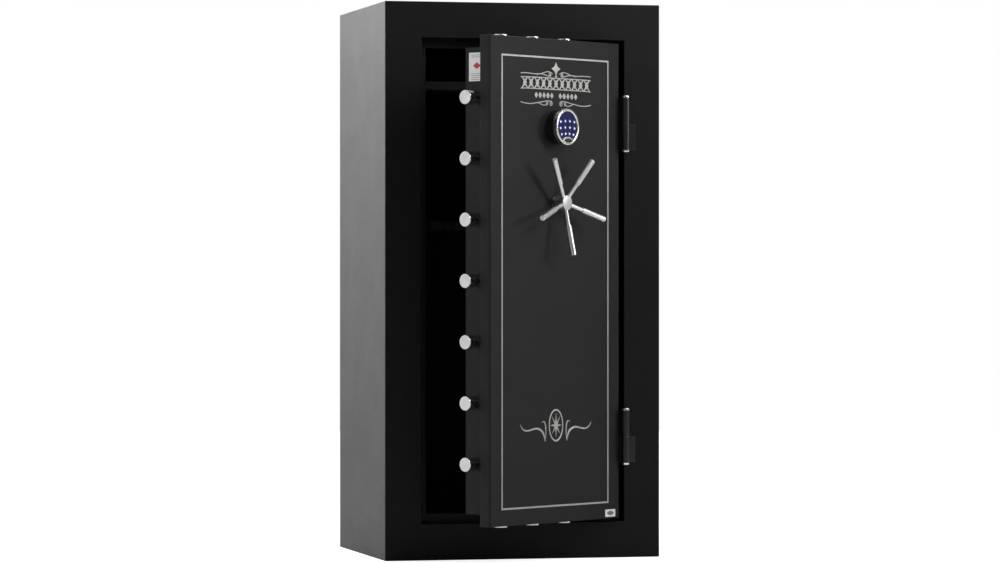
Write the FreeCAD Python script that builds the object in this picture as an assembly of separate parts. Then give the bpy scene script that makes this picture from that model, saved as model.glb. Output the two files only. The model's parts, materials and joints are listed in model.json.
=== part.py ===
import FreeCAD, Part
import math
import os

os.makedirs("parts", exist_ok=True)

Vector = FreeCAD.Vector

# A tall gun safe: a steel cabinet with a recessed door on two external hinges, three
# sets of round locking bolts driven by one pinion, a five-spoke handle and a keypad lock.
# Millimetres and degrees. +Z is up, the front faces -Y, and the origin is on the floor
# under the middle of the cabinet. "d" is a depth behind the cabinet's front face.

# ---------------------------------------------------------------- driving dimensions

CABINET_WIDTH = 762.0
CABINET_DEPTH = 610.0
CABINET_HEIGHT = 1499.0
BODY_SHEET = 3.0

OPENING_WIDTH = 562.0
OPENING_HEIGHT = 1303.0
RECESS_DEPTH = 40.0
LIP_THICKNESS = 6.0
LIP_SIDE_WIDTH = 20.0
LIP_END_WIDTH = 25.0

BOARD_THICKNESS = 15.0
LINER_THICKNESS = 5.0
LINING_SETBACK = 12.0

ANCHOR_X = 250.0
ANCHOR_Y = 180.0
ANCHOR_RADIUS = 7.0
ANCHOR_ACCESS_RADIUS = 16.0

SHELF_HALF_WIDTH = 350.0
SHELF_THICKNESS = 24.0
UPPER_SHELF_Z = 1268.0
LOWER_SHELF_Z = 888.0
SHELF_BACK_GAP = 2.0
UPPER_SHELF_DEPTH = 450.0
LOWER_SHELF_DEPTH = 390.0
RAIL_DEPTH = 60.0
RAIL_NOTCH_COUNT = 10
RAIL_NOTCH_WIDTH = 36.0
RAIL_NOTCH_DEPTH = 44.0

STANDARD_WIDTH = 16.0
STANDARD_THICKNESS = 4.0
STANDARD_BOTTOM = 300.0
STANDARD_TOP = 1420.0
STANDARD_SLOT_PITCH = 56.0
STANDARD_SLOT_WIDTH = 4.0
STANDARD_SLOT_HEIGHT = 14.0
STANDARD_YS = (-60.0, 200.0)
CLIP_REACH = 19.0
CLIP_LEG = 14.0
CLIP_SHEET = 3.0

DOOR_SIDE_GAP = 6.0
DOOR_END_GAP = 9.0
DOOR_THICKNESS = 35.0
DOOR_FRONT_SHEET = 5.0
DOOR_EDGE_SHEET = 3.0
DOOR_INNER_SHEET = 3.0
DOOR_REST_ANGLE = 37.0

BOX_FREE_INSET = 32.0
BOX_INSET = 30.0
BOX_SHEET = 3.0
BOX_BACK_D = 107.0
BOX_FLANGE = 20.0
PANEL_THICKNESS = 3.0
PANEL_SCREW_ROWS = 6
PANEL_SCREW_HEAD_RADIUS = 5.0
PANEL_SCREW_HEAD_HEIGHT = 2.0
PANEL_SCREW_RADIUS = 2.0
PANEL_SCREW_HOLE_RADIUS = 2.2
PANEL_SCREW_LENGTH = 8.0

SEAL_WIDTH = 12.0
SEAL_THICKNESS = 4.0
SEAL_SETBACK = 5.0

HINGE_PIN_FORWARD = 17.0
HINGE_BARREL_RADIUS = 11.0
HINGE_LENGTH = 156.0
HINGE_PIN_RADIUS = 6.0
HINGE_RUNNING_CLEARANCE = 0.05
HINGE_CAP_HEIGHT = 7.5
HINGE_CAP_RADIUS = 10.5
HINGE_CAP_ROUND = 3.0
HINGE_SPLIT_GAP = 0.6
HINGE_LEAF_THICKNESS = 5.0
HINGE_LEAF_DEPTH = 30.0
HINGE_LEAF_RELIEF = 12.5
HINGE_WEB_WIDTH = 8.0
HINGE_WEB_OFFSET = 3.0
HINGE_FOOT_WIDTH = 28.0
HINGE_FOOT_THICKNESS = 5.0
HINGE_BOTTOMS = {"upper": 1097.0, "lower": 250.0}

BOLT_RADIUS = 19.0
BOLT_CHAMFER = 2.5
BOLT_AXIS_D = 66.0
BOLT_HOLE_RADIUS = 19.6
BOLT_TRAVEL = 45.0
SIDE_BOLT_COUNT = 7
SIDE_BOLT_SPACING = 160.0
SIDE_BOLT_REACH = 24.0
SIDE_BOLT_LENGTH = 113.0
END_BOLT_OFFSETS = (123.0, 256.0, 391.0)
END_BOLT_REACH = 8.0
END_BOLT_LENGTH = 90.0
BAR_THICKNESS = 6.0
BAR_BACK_D = 86.0
BAR_END_MARGIN = 15.5

HANDLE_Z = 957.0
HANDLE_TURN = 90.0
PINION_TEETH = 24
PRESSURE_ANGLE = 20.0
ADDENDUM_FACTOR = 0.95
DEDENDUM_FACTOR = 1.2
TOOTH_BACKLASH = 0.35
FLANK_STEPS = 5
RACK_SPARE_TEETH = 4
TOP_RACK_FIRST_TOOTH = -2
PINION_FRONT_D = 36.5
PINION_BACK_D = 46.5
RACK_BODY_HEIGHT = 14.0
FRONT_LAYER = (37.0, 41.0)
REAR_LAYER = (42.0, 46.0)

SHAFT_RADIUS = 7.0
SHAFT_RUNNING_CLEARANCE = 0.05
BUSHING_RADIUS = 12.0
HUB_RADIUS = 20.0
HUB_FACE_D = -40.0
HUB_BACK_D = -22.0
HUB_ROUND = 3.0
HUB_SOCKET_D = -32.0
NECK_RADIUS = 13.0
NECK_CLEARANCE = 0.6
ROSETTE_RADIUS = 20.0
ROSETTE_THICKNESS = 4.0
SPOKE_COUNT = 5
SPOKE_START_RADIUS = 15.0
SPOKE_TIP_RADIUS = 140.0
SPOKE_TIP_FORWARD = 27.0
SPOKE_ROD_RADIUS = 5.75
SPOKE_GRIP_RADIUS = 8.0
SPOKE_GRIP_START = 46.0
SPOKE_SHOULDER = 3.0
SPOKE_ROUND = 2.5

KEYPAD_Z = 1158.0
KEYPAD_HOUSING_RADIUS = 45.0
KEYPAD_WALL = 3.0
KEYPAD_FLOOR = 3.0
KEYPAD_FACE_FRONT_D = -38.0
KEYPAD_FACE_THICKNESS = 2.0
KEYPAD_BEZEL_RADIUS = 48.5
KEYPAD_BEZEL_INNER_RADIUS = 41.0
KEYPAD_BEZEL_FRONT_D = -41.5
KEYPAD_BEZEL_SKIRT_D = -28.0
KEYPAD_BEZEL_ROUND = 3.0
KEYPAD_ARCH_WIDTH = 34.0
KEYPAD_ARCH_HEIGHT = 15.0
KEYPAD_CABLE_RADIUS = 8.0
KEY_RADIUS = 5.2
KEY_CLEARANCE = 0.4
KEY_FLANGE_RADIUS = 6.6
KEY_FRONT_D = -39.6
KEY_FLANGE_FRONT_D = -35.6
KEY_BACK_D = -34.4
KEY_ROUND = 0.8
KEY_ROWS = ((15.0, 19.2), (-2.0, 19.6), (-18.5, 16.6))
KEY_COLUMNS = 4
KEY_ARC_DROP = 1.8

LOCK_CENTRE_X = -4.0
LOCK_WIDTH = 61.0
LOCK_HEIGHT = 84.0
LOCK_BACK_D = 62.0
LOCK_BOLT_WIDTH = 13.0
LOCK_BOLT_LAYER = (38.0, 46.0)
LOCK_BOLT_LENGTH = 40.0
LOCK_BOLT_INSET = 0.5
LOCK_BOLT_CLEARANCE = 0.3
LOCK_CHANNEL_OVERRUN = 1.0
LOCK_ARM_DROP = 2.0
LOCK_ARM_HEIGHT = 20.0
LOCK_NOTCH_WIDTH = 16.0
LOCK_NOTCH_DEPTH = 10.0
LOCK_ARM_END_X = 22.0
STEADY_ARM_Z = 490.0
STEADY_ARM_HEIGHT = 14.0
STEADY_ARM_END_X = -60.0

GUIDE_CLEARANCE = 0.5
GUIDE_ROOF_GAP = 1.0
GUIDE_WALL = 3.5
GUIDE_LENGTH = 20.0
GUIDE_X = -128.0
TOP_STRAP_GUIDE_ZS = (1060.0, 1225.0)
BOTTOM_STRAP_GUIDE_ZS = (300.0, 600.0, 860.0)

# ---------------------------------------------------------------- worked-out places

FRONT_Y = -CABINET_DEPTH / 2
BACK_Y = CABINET_DEPTH / 2
HALF_WIDTH = CABINET_WIDTH / 2

OPENING_X = OPENING_WIDTH / 2
OPENING_Z0 = (CABINET_HEIGHT - OPENING_HEIGHT) / 2
OPENING_Z1 = OPENING_Z0 + OPENING_HEIGHT

DOOR_X = OPENING_X - DOOR_SIDE_GAP
DOOR_Z0 = OPENING_Z0 + DOOR_END_GAP
DOOR_Z1 = OPENING_Z1 - DOOR_END_GAP
DOOR_MID_Z = (DOOR_Z0 + DOOR_Z1) / 2

BOX_X0 = -DOOR_X + BOX_FREE_INSET
BOX_X1 = DOOR_X - BOX_INSET
BOX_Z0 = DOOR_Z0 + BOX_INSET
BOX_Z1 = DOOR_Z1 - BOX_INSET

INNER_X = HALF_WIDTH - BODY_SHEET
INNER_Z0 = BODY_SHEET
INNER_Z1 = CABINET_HEIGHT - BODY_SHEET
INNER_BACK_Y = BACK_Y - BODY_SHEET
LINING_FRONT_Y = FRONT_Y + BODY_SHEET + LINING_SETBACK
BOARDED_X = INNER_X - BOARD_THICKNESS
BOARDED_Z0 = INNER_Z0 + BOARD_THICKNESS
BOARDED_Z1 = INNER_Z1 - BOARD_THICKNESS
BOARDED_BACK_Y = INNER_BACK_Y - BOARD_THICKNESS
CLEAR_X = BOARDED_X - LINER_THICKNESS
CLEAR_BACK_Y = BOARDED_BACK_Y - LINER_THICKNESS

PITCH_RADIUS = BOLT_TRAVEL / math.radians(HANDLE_TURN)
GEAR_MODULE = 2 * PITCH_RADIUS / PINION_TEETH
TOOTH_PITCH = math.pi * GEAR_MODULE
ADDENDUM = ADDENDUM_FACTOR * GEAR_MODULE
DEDENDUM = DEDENDUM_FACTOR * GEAR_MODULE
STRAP_INNER = PITCH_RADIUS + DEDENDUM
STRAP_OUTER = STRAP_INNER + RACK_BODY_HEIGHT
RACK_TEETH = round(BOLT_TRAVEL / TOOTH_PITCH) + RACK_SPARE_TEETH

SIDE_BOLT_TIP_X = -DOOR_X - SIDE_BOLT_REACH
SIDE_BOLT_ROOT_X = SIDE_BOLT_TIP_X + SIDE_BOLT_LENGTH
SIDE_BOLT_HALF_SPAN = (SIDE_BOLT_COUNT - 1) / 2 * SIDE_BOLT_SPACING
SIDE_BOLT_ZS = [DOOR_MID_Z - SIDE_BOLT_HALF_SPAN + i * SIDE_BOLT_SPACING for i in range(SIDE_BOLT_COUNT)]
END_BOLT_XS = [-DOOR_X + offset for offset in END_BOLT_OFFSETS]
TOP_BOLT_TIP_Z = DOOR_Z1 + END_BOLT_REACH
TOP_BOLT_ROOT_Z = TOP_BOLT_TIP_Z - END_BOLT_LENGTH
BOTTOM_BOLT_TIP_Z = DOOR_Z0 - END_BOLT_REACH
BOTTOM_BOLT_ROOT_Z = BOTTOM_BOLT_TIP_Z + END_BOLT_LENGTH

LOCK_Z0 = KEYPAD_Z - LOCK_HEIGHT / 2
LOCK_Z1 = KEYPAD_Z + LOCK_HEIGHT / 2
LOCK_ARM_TOP = LOCK_Z0 - LOCK_ARM_DROP

HINGE_AXIS = Vector(OPENING_X, FRONT_Y - HINGE_PIN_FORWARD, 0)
FULL_TURN = 360.0
SAME_PLACE = 0.0001
CUT_MARGIN = 1.0
UP = Vector(0, 0, 1)
INWARD = Vector(0, 1, 0)
RIGHT = Vector(1, 0, 0)

# ---------------------------------------------------------------- helpers


def block(x0, x1, d0, d1, z0, z1):
    """A box given by its limits, with d0 and d1 as depths behind the front face."""
    corner = Vector(min(x0, x1), FRONT_Y + min(d0, d1), min(z0, z1))
    return Part.makeBox(abs(x1 - x0), abs(d1 - d0), abs(z1 - z0), corner)


def room(x0, x1, y0, y1, z0, z1):
    """A box given by its limits in the safe's own x, y and z."""
    return block(x0, x1, y0 - FRONT_Y, y1 - FRONT_Y, z0, z1)


def rod(radius, start, direction, length):
    return Part.makeCylinder(radius, length, start, direction)


def at(x, d, z):
    return Vector(x, FRONT_Y + d, z)


def disc(radius, x, z, d0, d1):
    """A round piece whose axis runs into the safe, from depth d0 to d1."""
    return rod(radius, at(x, d0, z), INWARD, d1 - d0)


def outline_solid(points, d0, d1):
    """Extrude a closed outline of (x, z) points from depth d0 to d1."""
    corners = [at(x, d0, z) for x, z in points]
    face = Part.Face(Part.makePolygon(corners + corners[:1]))
    return face.extrude(INWARD * (d1 - d0))


def joined(shapes):
    return shapes[0].multiFuse(shapes[1:]).removeSplitter()


def round_edges(shape, radius, wanted):
    edges = [edge for edge in shape.Edges if wanted(edge)]
    return shape.makeFillet(radius, edges)


def is_ring_at(d):
    """A test for closed round edges that lie at depth d."""
    def test(edge):
        box = edge.BoundBox
        return abs(box.YMin - FRONT_Y - d) < SAME_PLACE and abs(box.YMax - FRONT_Y - d) < SAME_PLACE
    return test


def on_door(shape):
    """Carry a piece drawn with the door shut to the door's rest angle."""
    copy = shape.copy()
    copy.rotate(HINGE_AXIS, UP, DOOR_REST_ANGLE)
    return copy


nodes = {}


def keep(name, shape):
    nodes[name] = shape


def keep_on_door(name, shape):
    nodes[name] = on_door(shape)


# ---------------------------------------------------------------- cabinet


def anchor_holes(radius, z0, z1):
    spots = [(x, y) for x in (-ANCHOR_X, ANCHOR_X) for y in (-ANCHOR_Y, ANCHOR_Y)]
    drills = [rod(radius, Vector(x, y, z0), UP, z1 - z0) for x, y in spots]
    return Part.makeCompound(drills)


def make_cabinet_shell():
    outer = block(-HALF_WIDTH, HALF_WIDTH, BODY_SHEET, CABINET_DEPTH, 0, CABINET_HEIGHT)
    hollow = room(-INNER_X, INNER_X, FRONT_Y, INNER_BACK_Y, INNER_Z0, INNER_Z1)
    return outer.cut(hollow).cut(anchor_holes(ANCHOR_RADIUS, -BODY_SHEET, 2 * BODY_SHEET))


def make_front_frame():
    """The front face, the jamb folded into the safe and the lip that the bolts hold."""
    reach = RECESS_DEPTH + LIP_THICKNESS
    face = block(-HALF_WIDTH, HALF_WIDTH, 0, BODY_SHEET, 0, CABINET_HEIGHT)
    jamb_x = OPENING_X + BODY_SHEET
    jamb = block(-jamb_x, jamb_x, 0, reach, OPENING_Z0 - BODY_SHEET, OPENING_Z1 + BODY_SHEET)
    recess = block(-OPENING_X, OPENING_X, -CUT_MARGIN, RECESS_DEPTH, OPENING_Z0, OPENING_Z1)
    x = OPENING_X - LIP_SIDE_WIDTH
    z0 = OPENING_Z0 + LIP_END_WIDTH
    z1 = OPENING_Z1 - LIP_END_WIDTH
    doorway = block(-x, x, -CUT_MARGIN, reach + CUT_MARGIN, z0, z1)
    return face.fuse(jamb).cut(recess).cut(doorway).removeSplitter()


def make_lining(prefix, outer_x, outer_z0, outer_z1, outer_back_y, thickness):
    """Floor, roof, back and side panels of one layer of lining, butted together."""
    front = LINING_FRONT_Y
    x1 = outer_x - thickness
    z0 = outer_z0 + thickness
    z1 = outer_z1 - thickness
    back = outer_back_y - thickness
    floor = room(-outer_x, outer_x, front, outer_back_y, outer_z0, z0)
    access = anchor_holes(ANCHOR_ACCESS_RADIUS, outer_z0 - CUT_MARGIN, z0 + CUT_MARGIN)
    keep(prefix + "_floor", floor.cut(access))
    keep(prefix + "_top", room(-outer_x, outer_x, front, outer_back_y, z1, outer_z1))
    keep(prefix + "_back", room(-outer_x, outer_x, back, outer_back_y, z0, z1))
    keep(prefix + "_left", room(-outer_x, -x1, front, back, z0, z1))
    keep(prefix + "_right", room(x1, outer_x, front, back, z0, z1))


def make_shelf(z, depth):
    back = CLEAR_BACK_Y - SHELF_BACK_GAP
    return room(-SHELF_HALF_WIDTH, SHELF_HALF_WIDTH, back - depth, back, z, z + SHELF_THICKNESS)


def rail_notch_x(index):
    pitch = 2 * SHELF_HALF_WIDTH / RAIL_NOTCH_COUNT
    return -SHELF_HALF_WIDTH + (index + 0.5) * pitch


def make_barrel_rail():
    """A notched rail along the lower shelf's front edge, one notch for each barrel."""
    back = CLEAR_BACK_Y - SHELF_BACK_GAP - LOWER_SHELF_DEPTH
    front = back - RAIL_DEPTH
    z0 = LOWER_SHELF_Z
    z1 = LOWER_SHELF_Z + SHELF_THICKNESS
    rail = room(-SHELF_HALF_WIDTH, SHELF_HALF_WIDTH, front, back, z0, z1)
    half = RAIL_NOTCH_WIDTH / 2
    round_y = front + RAIL_NOTCH_DEPTH - half
    cut_z0 = z0 - CUT_MARGIN
    cut_z1 = z1 + CUT_MARGIN
    cutters = []
    for index in range(RAIL_NOTCH_COUNT):
        x = rail_notch_x(index)
        cutters.append(room(x - half, x + half, front - CUT_MARGIN, round_y, cut_z0, cut_z1))
        cutters.append(rod(half, Vector(x, round_y, cut_z0), UP, cut_z1 - cut_z0))
    return rail.cut(Part.makeCompound(cutters))


def make_shelf_standards():
    """Four slotted strips, two on each side wall."""
    strips = []
    slot_count = int((STANDARD_TOP - STANDARD_BOTTOM) / STANDARD_SLOT_PITCH)
    half = STANDARD_WIDTH / 2
    for side in (-1, 1):
        x0 = side * (CLEAR_X - STANDARD_THICKNESS)
        x1 = side * CLEAR_X
        for y in STANDARD_YS:
            strip = room(x0, x1, y - half, y + half, STANDARD_BOTTOM, STANDARD_TOP)
            y0 = y - STANDARD_SLOT_WIDTH / 2
            y1 = y + STANDARD_SLOT_WIDTH / 2
            slots = []
            for index in range(slot_count):
                z0 = STANDARD_BOTTOM + (index + 0.5) * STANDARD_SLOT_PITCH - STANDARD_SLOT_HEIGHT / 2
                slots.append(room(x0, x1, y0, y1, z0, z0 + STANDARD_SLOT_HEIGHT))
            strips.append(strip.cut(Part.makeCompound(slots)))
    return Part.makeCompound(strips)


def make_shelf_clips():
    """Eight angle clips, four under each shelf."""
    clips = []
    half = STANDARD_WIDTH / 2
    for shelf_z in (LOWER_SHELF_Z, UPPER_SHELF_Z):
        for side in (-1, 1):
            wall = side * (CLEAR_X - STANDARD_THICKNESS)
            tongue_end = wall - side * CLIP_REACH
            for y in STANDARD_YS:
                tongue = room(wall, tongue_end, y - half, y + half, shelf_z - CLIP_SHEET, shelf_z)
                leg = room(wall, wall - side * CLIP_SHEET, y - half, y + half, shelf_z - CLIP_LEG, shelf_z)
                clips.append(joined([tongue, leg]))
    return Part.makeCompound(clips)


keep("cabinet_shell", make_cabinet_shell())
keep("front_frame", make_front_frame())
make_lining("fireboard", INNER_X, INNER_Z0, INNER_Z1, INNER_BACK_Y, BOARD_THICKNESS)
make_lining("liner", BOARDED_X, BOARDED_Z0, BOARDED_Z1, BOARDED_BACK_Y, LINER_THICKNESS)
keep("shelf_upper", make_shelf(UPPER_SHELF_Z, UPPER_SHELF_DEPTH))
keep("shelf_lower", make_shelf(LOWER_SHELF_Z, LOWER_SHELF_DEPTH))
keep("barrel_rail", make_barrel_rail())
keep("shelf_standards", make_shelf_standards())
keep("shelf_clips", make_shelf_clips())

# ---------------------------------------------------------------- hinges


def hinge_heights(bottom):
    """Heights of the barrel's two ends inside its caps, and of the split half way."""
    low = bottom + HINGE_CAP_HEIGHT
    high = bottom + HINGE_LENGTH - HINGE_CAP_HEIGHT
    return low, (low + high) / 2, high


def make_hinge_pin(bottom):
    """A pin that stands in the cabinet's knuckle, with a rounded cap at each end."""
    low, _, high = hinge_heights(bottom)
    start = Vector(HINGE_AXIS.x, HINGE_AXIS.y, low)
    pin = rod(HINGE_PIN_RADIUS, start, UP, high - low)
    caps = []
    for z, outer_z in ((bottom, bottom), (high, high + HINGE_CAP_HEIGHT)):
        cap = rod(HINGE_CAP_RADIUS, Vector(HINGE_AXIS.x, HINGE_AXIS.y, z), UP, HINGE_CAP_HEIGHT)
        outer_edges = [edge for edge in cap.Edges if abs(edge.BoundBox.Center.z - outer_z) < 0.1]
        caps.append(cap.makeFillet(HINGE_CAP_ROUND, [edge for edge in outer_edges if edge.Closed]))
    return joined([pin] + caps)


def make_cabinet_knuckle(bottom):
    """The lower half of the barrel, with its web and foot welded to the front face."""
    low, split, _ = hinge_heights(bottom)
    height = split - low - HINGE_SPLIT_GAP / 2
    start = Vector(HINGE_AXIS.x, HINGE_AXIS.y, low)
    barrel = rod(HINGE_BARREL_RADIUS, start, UP, height)
    x0 = OPENING_X + HINGE_WEB_OFFSET
    web = block(x0, x0 + HINGE_WEB_WIDTH, -HINGE_PIN_FORWARD, 0, low, low + height)
    foot = block(x0, x0 + HINGE_FOOT_WIDTH, -HINGE_FOOT_THICKNESS, 0, low, low + height)
    bore = rod(HINGE_PIN_RADIUS, start, UP, height)
    return joined([barrel, web, foot]).cut(bore)


def make_door_leaf(bottom):
    """The upper half of the barrel and the leaf welded along the door's edge."""
    low, split, high = hinge_heights(bottom)
    z0 = split + HINGE_SPLIT_GAP / 2
    gap = HINGE_SPLIT_GAP
    start = Vector(HINGE_AXIS.x, HINGE_AXIS.y, z0)
    barrel = rod(HINGE_BARREL_RADIUS, start, UP, high - z0 - gap)
    x0 = DOOR_X
    x1 = DOOR_X + HINGE_LEAF_THICKNESS
    relief_d = HINGE_LEAF_RELIEF - HINGE_PIN_FORWARD
    upper = block(x0, x1, -HINGE_PIN_FORWARD, HINGE_LEAF_DEPTH, z0, high - gap)
    lower = block(x0, x1, relief_d, HINGE_LEAF_DEPTH, low, z0)
    bore = rod(HINGE_PIN_RADIUS + HINGE_RUNNING_CLEARANCE, start, UP, high - z0)
    return joined([barrel, upper, lower]).cut(bore)


for place, bottom in HINGE_BOTTOMS.items():
    keep("hinge_pin_" + place, make_hinge_pin(bottom))
    keep("hinge_cabinet_knuckle_" + place, make_cabinet_knuckle(bottom))
    keep_on_door("hinge_door_leaf_" + place, make_door_leaf(bottom))

# ---------------------------------------------------------------- door


def door_drillings(d0, d1):
    """The holes for the handle's bushing and the keypad's cable."""
    bushing = disc(BUSHING_RADIUS, 0, HANDLE_Z, d0 - CUT_MARGIN, d1 + CUT_MARGIN)
    cable = disc(KEYPAD_CABLE_RADIUS, 0, KEYPAD_Z, d0 - CUT_MARGIN, d1 + CUT_MARGIN)
    return Part.makeCompound([bushing, cable])


def door_layer(d0, d1):
    x = DOOR_X - DOOR_EDGE_SHEET
    slab = block(-x, x, d0, d1, DOOR_Z0 + DOOR_EDGE_SHEET, DOOR_Z1 - DOOR_EDGE_SHEET)
    return slab.cut(door_drillings(d0, d1))


def make_door_skin():
    pan = block(-DOOR_X, DOOR_X, 0, DOOR_THICKNESS, DOOR_Z0, DOOR_Z1)
    x = DOOR_X - DOOR_EDGE_SHEET
    z0 = DOOR_Z0 + DOOR_EDGE_SHEET
    z1 = DOOR_Z1 - DOOR_EDGE_SHEET
    hollow = block(-x, x, DOOR_FRONT_SHEET, DOOR_THICKNESS, z0, z1)
    return pan.cut(hollow).cut(door_drillings(0, DOOR_FRONT_SHEET))


def make_door_seal():
    """A fire seal glued round the door's back rim; it closes to 1 mm from the lip."""
    outer_x = DOOR_X - SEAL_SETBACK
    outer_z0 = DOOR_Z0 + SEAL_SETBACK
    outer_z1 = DOOR_Z1 - SEAL_SETBACK
    d1 = DOOR_THICKNESS + SEAL_THICKNESS
    outside = block(-outer_x, outer_x, DOOR_THICKNESS, d1, outer_z0, outer_z1)
    inner_x = outer_x - SEAL_WIDTH
    inside = block(-inner_x, inner_x, DOOR_THICKNESS, d1, outer_z0 + SEAL_WIDTH, outer_z1 - SEAL_WIDTH)
    return outside.cut(inside)


def bolt_drillings():
    """Clearance holes through the bolt box for every locking bolt."""
    length = 2 * BOX_INSET
    holes = []
    for z in SIDE_BOLT_ZS:
        holes.append(rod(BOLT_HOLE_RADIUS, at(BOX_X0 - BOX_SHEET, BOLT_AXIS_D, z), RIGHT, length))
    for x in END_BOLT_XS:
        holes.append(rod(BOLT_HOLE_RADIUS, at(x, BOLT_AXIS_D, BOX_Z0 - BOX_SHEET), UP, length))
        holes.append(rod(BOLT_HOLE_RADIUS, at(x, BOLT_AXIS_D, BOX_Z1 + BOX_SHEET - length), UP, length))
    return Part.makeCompound(holes)


def panel_screw_spots():
    """Places of the back panel's screws, along the bolt box's flanges."""
    edge = BOX_FLANGE / 2
    left = BOX_X0 + edge
    right = BOX_X1 - edge
    low = BOX_Z0 + edge
    high = BOX_Z1 - edge
    spots = []
    for index in range(PANEL_SCREW_ROWS):
        z = low + (high - low) * index / (PANEL_SCREW_ROWS - 1)
        spots.append((left, z))
        spots.append((right, z))
    middle = (left + right) / 2
    return spots + [(middle, low), (middle, high)]


def panel_screw_holes():
    d0 = BOX_BACK_D - PANEL_SCREW_LENGTH
    d1 = BOX_BACK_D + PANEL_THICKNESS
    return Part.makeCompound([disc(PANEL_SCREW_HOLE_RADIUS, x, z, d0, d1) for x, z in panel_screw_spots()])


def make_bolt_box():
    """A welded frame behind the door that carries the bolts, with a flange for its panel."""
    outside = block(BOX_X0, BOX_X1, DOOR_THICKNESS, BOX_BACK_D, BOX_Z0, BOX_Z1)
    t = BOX_SHEET
    inside = block(BOX_X0 + t, BOX_X1 - t, DOOR_THICKNESS, BOX_BACK_D - t, BOX_Z0 + t, BOX_Z1 - t)
    f = BOX_FLANGE
    access = block(BOX_X0 + f, BOX_X1 - f, DOOR_THICKNESS, BOX_BACK_D, BOX_Z0 + f, BOX_Z1 - f)
    return outside.cut(inside).cut(access).cut(bolt_drillings()).cut(panel_screw_holes())


def make_back_panel():
    d1 = BOX_BACK_D + PANEL_THICKNESS
    panel = block(BOX_X0, BOX_X1, BOX_BACK_D, d1, BOX_Z0, BOX_Z1)
    return panel.cut(panel_screw_holes())


def make_panel_screws():
    screws = []
    back = BOX_BACK_D + PANEL_THICKNESS
    for x, z in panel_screw_spots():
        shank = disc(PANEL_SCREW_RADIUS, x, z, back - PANEL_SCREW_LENGTH, back)
        head = disc(PANEL_SCREW_HEAD_RADIUS, x, z, back, back + PANEL_SCREW_HEAD_HEIGHT)
        screws.append(joined([shank, head]))
    return Part.makeCompound(screws)


inner_sheet_d = DOOR_THICKNESS - DOOR_INNER_SHEET
keep_on_door("door_skin", make_door_skin())
keep_on_door("door_fireboard", door_layer(DOOR_FRONT_SHEET, inner_sheet_d))
keep_on_door("door_inner_plate", door_layer(inner_sheet_d, DOOR_THICKNESS))
keep_on_door("door_seal", make_door_seal())
keep_on_door("bolt_box", make_bolt_box())
keep_on_door("door_back_panel", make_back_panel())
keep_on_door("panel_screws", make_panel_screws())

# ---------------------------------------------------------------- keypad


def key_spots():
    """Places of the twelve keys: three rows of four, each row bowed a little."""
    spots = []
    for row_z, spacing in KEY_ROWS:
        for column in range(KEY_COLUMNS):
            step = column - (KEY_COLUMNS - 1) / 2
            drop = KEY_ARC_DROP if abs(step) > 1 else 0.0
            spots.append((step * spacing, KEYPAD_Z + row_z - drop))
    return spots


def make_keypad_housing():
    d1 = KEYPAD_FACE_FRONT_D + KEYPAD_FACE_THICKNESS
    outside = disc(KEYPAD_HOUSING_RADIUS, 0, KEYPAD_Z, d1, 0)
    inside = disc(KEYPAD_HOUSING_RADIUS - KEYPAD_WALL, 0, KEYPAD_Z, d1, -KEYPAD_FLOOR)
    cable = disc(KEYPAD_CABLE_RADIUS, 0, KEYPAD_Z, -KEYPAD_FLOOR, 0)
    return outside.cut(inside).cut(cable)


def make_keypad_face():
    d0 = KEYPAD_FACE_FRONT_D
    d1 = d0 + KEYPAD_FACE_THICKNESS
    face = disc(KEYPAD_HOUSING_RADIUS, 0, KEYPAD_Z, d0, d1)
    holes = [disc(KEY_RADIUS + KEY_CLEARANCE, x, z, d0, d1) for x, z in key_spots()]
    return face.cut(Part.makeCompound(holes))


def make_keypad_bezel():
    """The front ring and its skirt, with a low arch at the bottom for the indicator."""
    ring = disc(KEYPAD_BEZEL_RADIUS, 0, KEYPAD_Z, KEYPAD_BEZEL_FRONT_D, KEYPAD_BEZEL_SKIRT_D)
    ring = round_edges(ring, KEYPAD_BEZEL_ROUND, is_ring_at(KEYPAD_BEZEL_FRONT_D))
    body_space = disc(KEYPAD_HOUSING_RADIUS, 0, KEYPAD_Z, KEYPAD_FACE_FRONT_D, KEYPAD_BEZEL_SKIRT_D)
    window = disc(KEYPAD_BEZEL_INNER_RADIUS, 0, KEYPAD_Z, KEYPAD_BEZEL_FRONT_D, KEYPAD_FACE_FRONT_D)
    arch_z = KEYPAD_Z - KEYPAD_BEZEL_INNER_RADIUS
    arch_radius = KEYPAD_ARCH_WIDTH / 2
    arch = disc(arch_radius, 0, arch_z, KEYPAD_BEZEL_FRONT_D, KEYPAD_FACE_FRONT_D)
    squash = FreeCAD.Matrix()
    squash.move(Vector(0, 0, -arch_z))
    squash.scale(1.0, 1.0, KEYPAD_ARCH_HEIGHT / arch_radius)
    squash.move(Vector(0, 0, arch_z))
    arch = arch.transformGeometry(squash)
    return ring.cut(body_space).cut(window.cut(arch)).removeSplitter()


def make_key(x, z):
    flange = disc(KEY_FLANGE_RADIUS, x, z, KEY_FLANGE_FRONT_D, KEY_BACK_D)
    cap = disc(KEY_RADIUS, x, z, KEY_FRONT_D, KEY_BACK_D)
    cap = round_edges(cap, KEY_ROUND, is_ring_at(KEY_FRONT_D))
    return joined([cap, flange])


keep_on_door("keypad_housing", make_keypad_housing())
keep_on_door("keypad_face", make_keypad_face())
keep_on_door("keypad_bezel", make_keypad_bezel())
for number, (key_x, key_z) in enumerate(key_spots(), start=1):
    keep_on_door("key_%02d" % number, make_key(key_x, key_z))

# ---------------------------------------------------------------- handle


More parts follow.
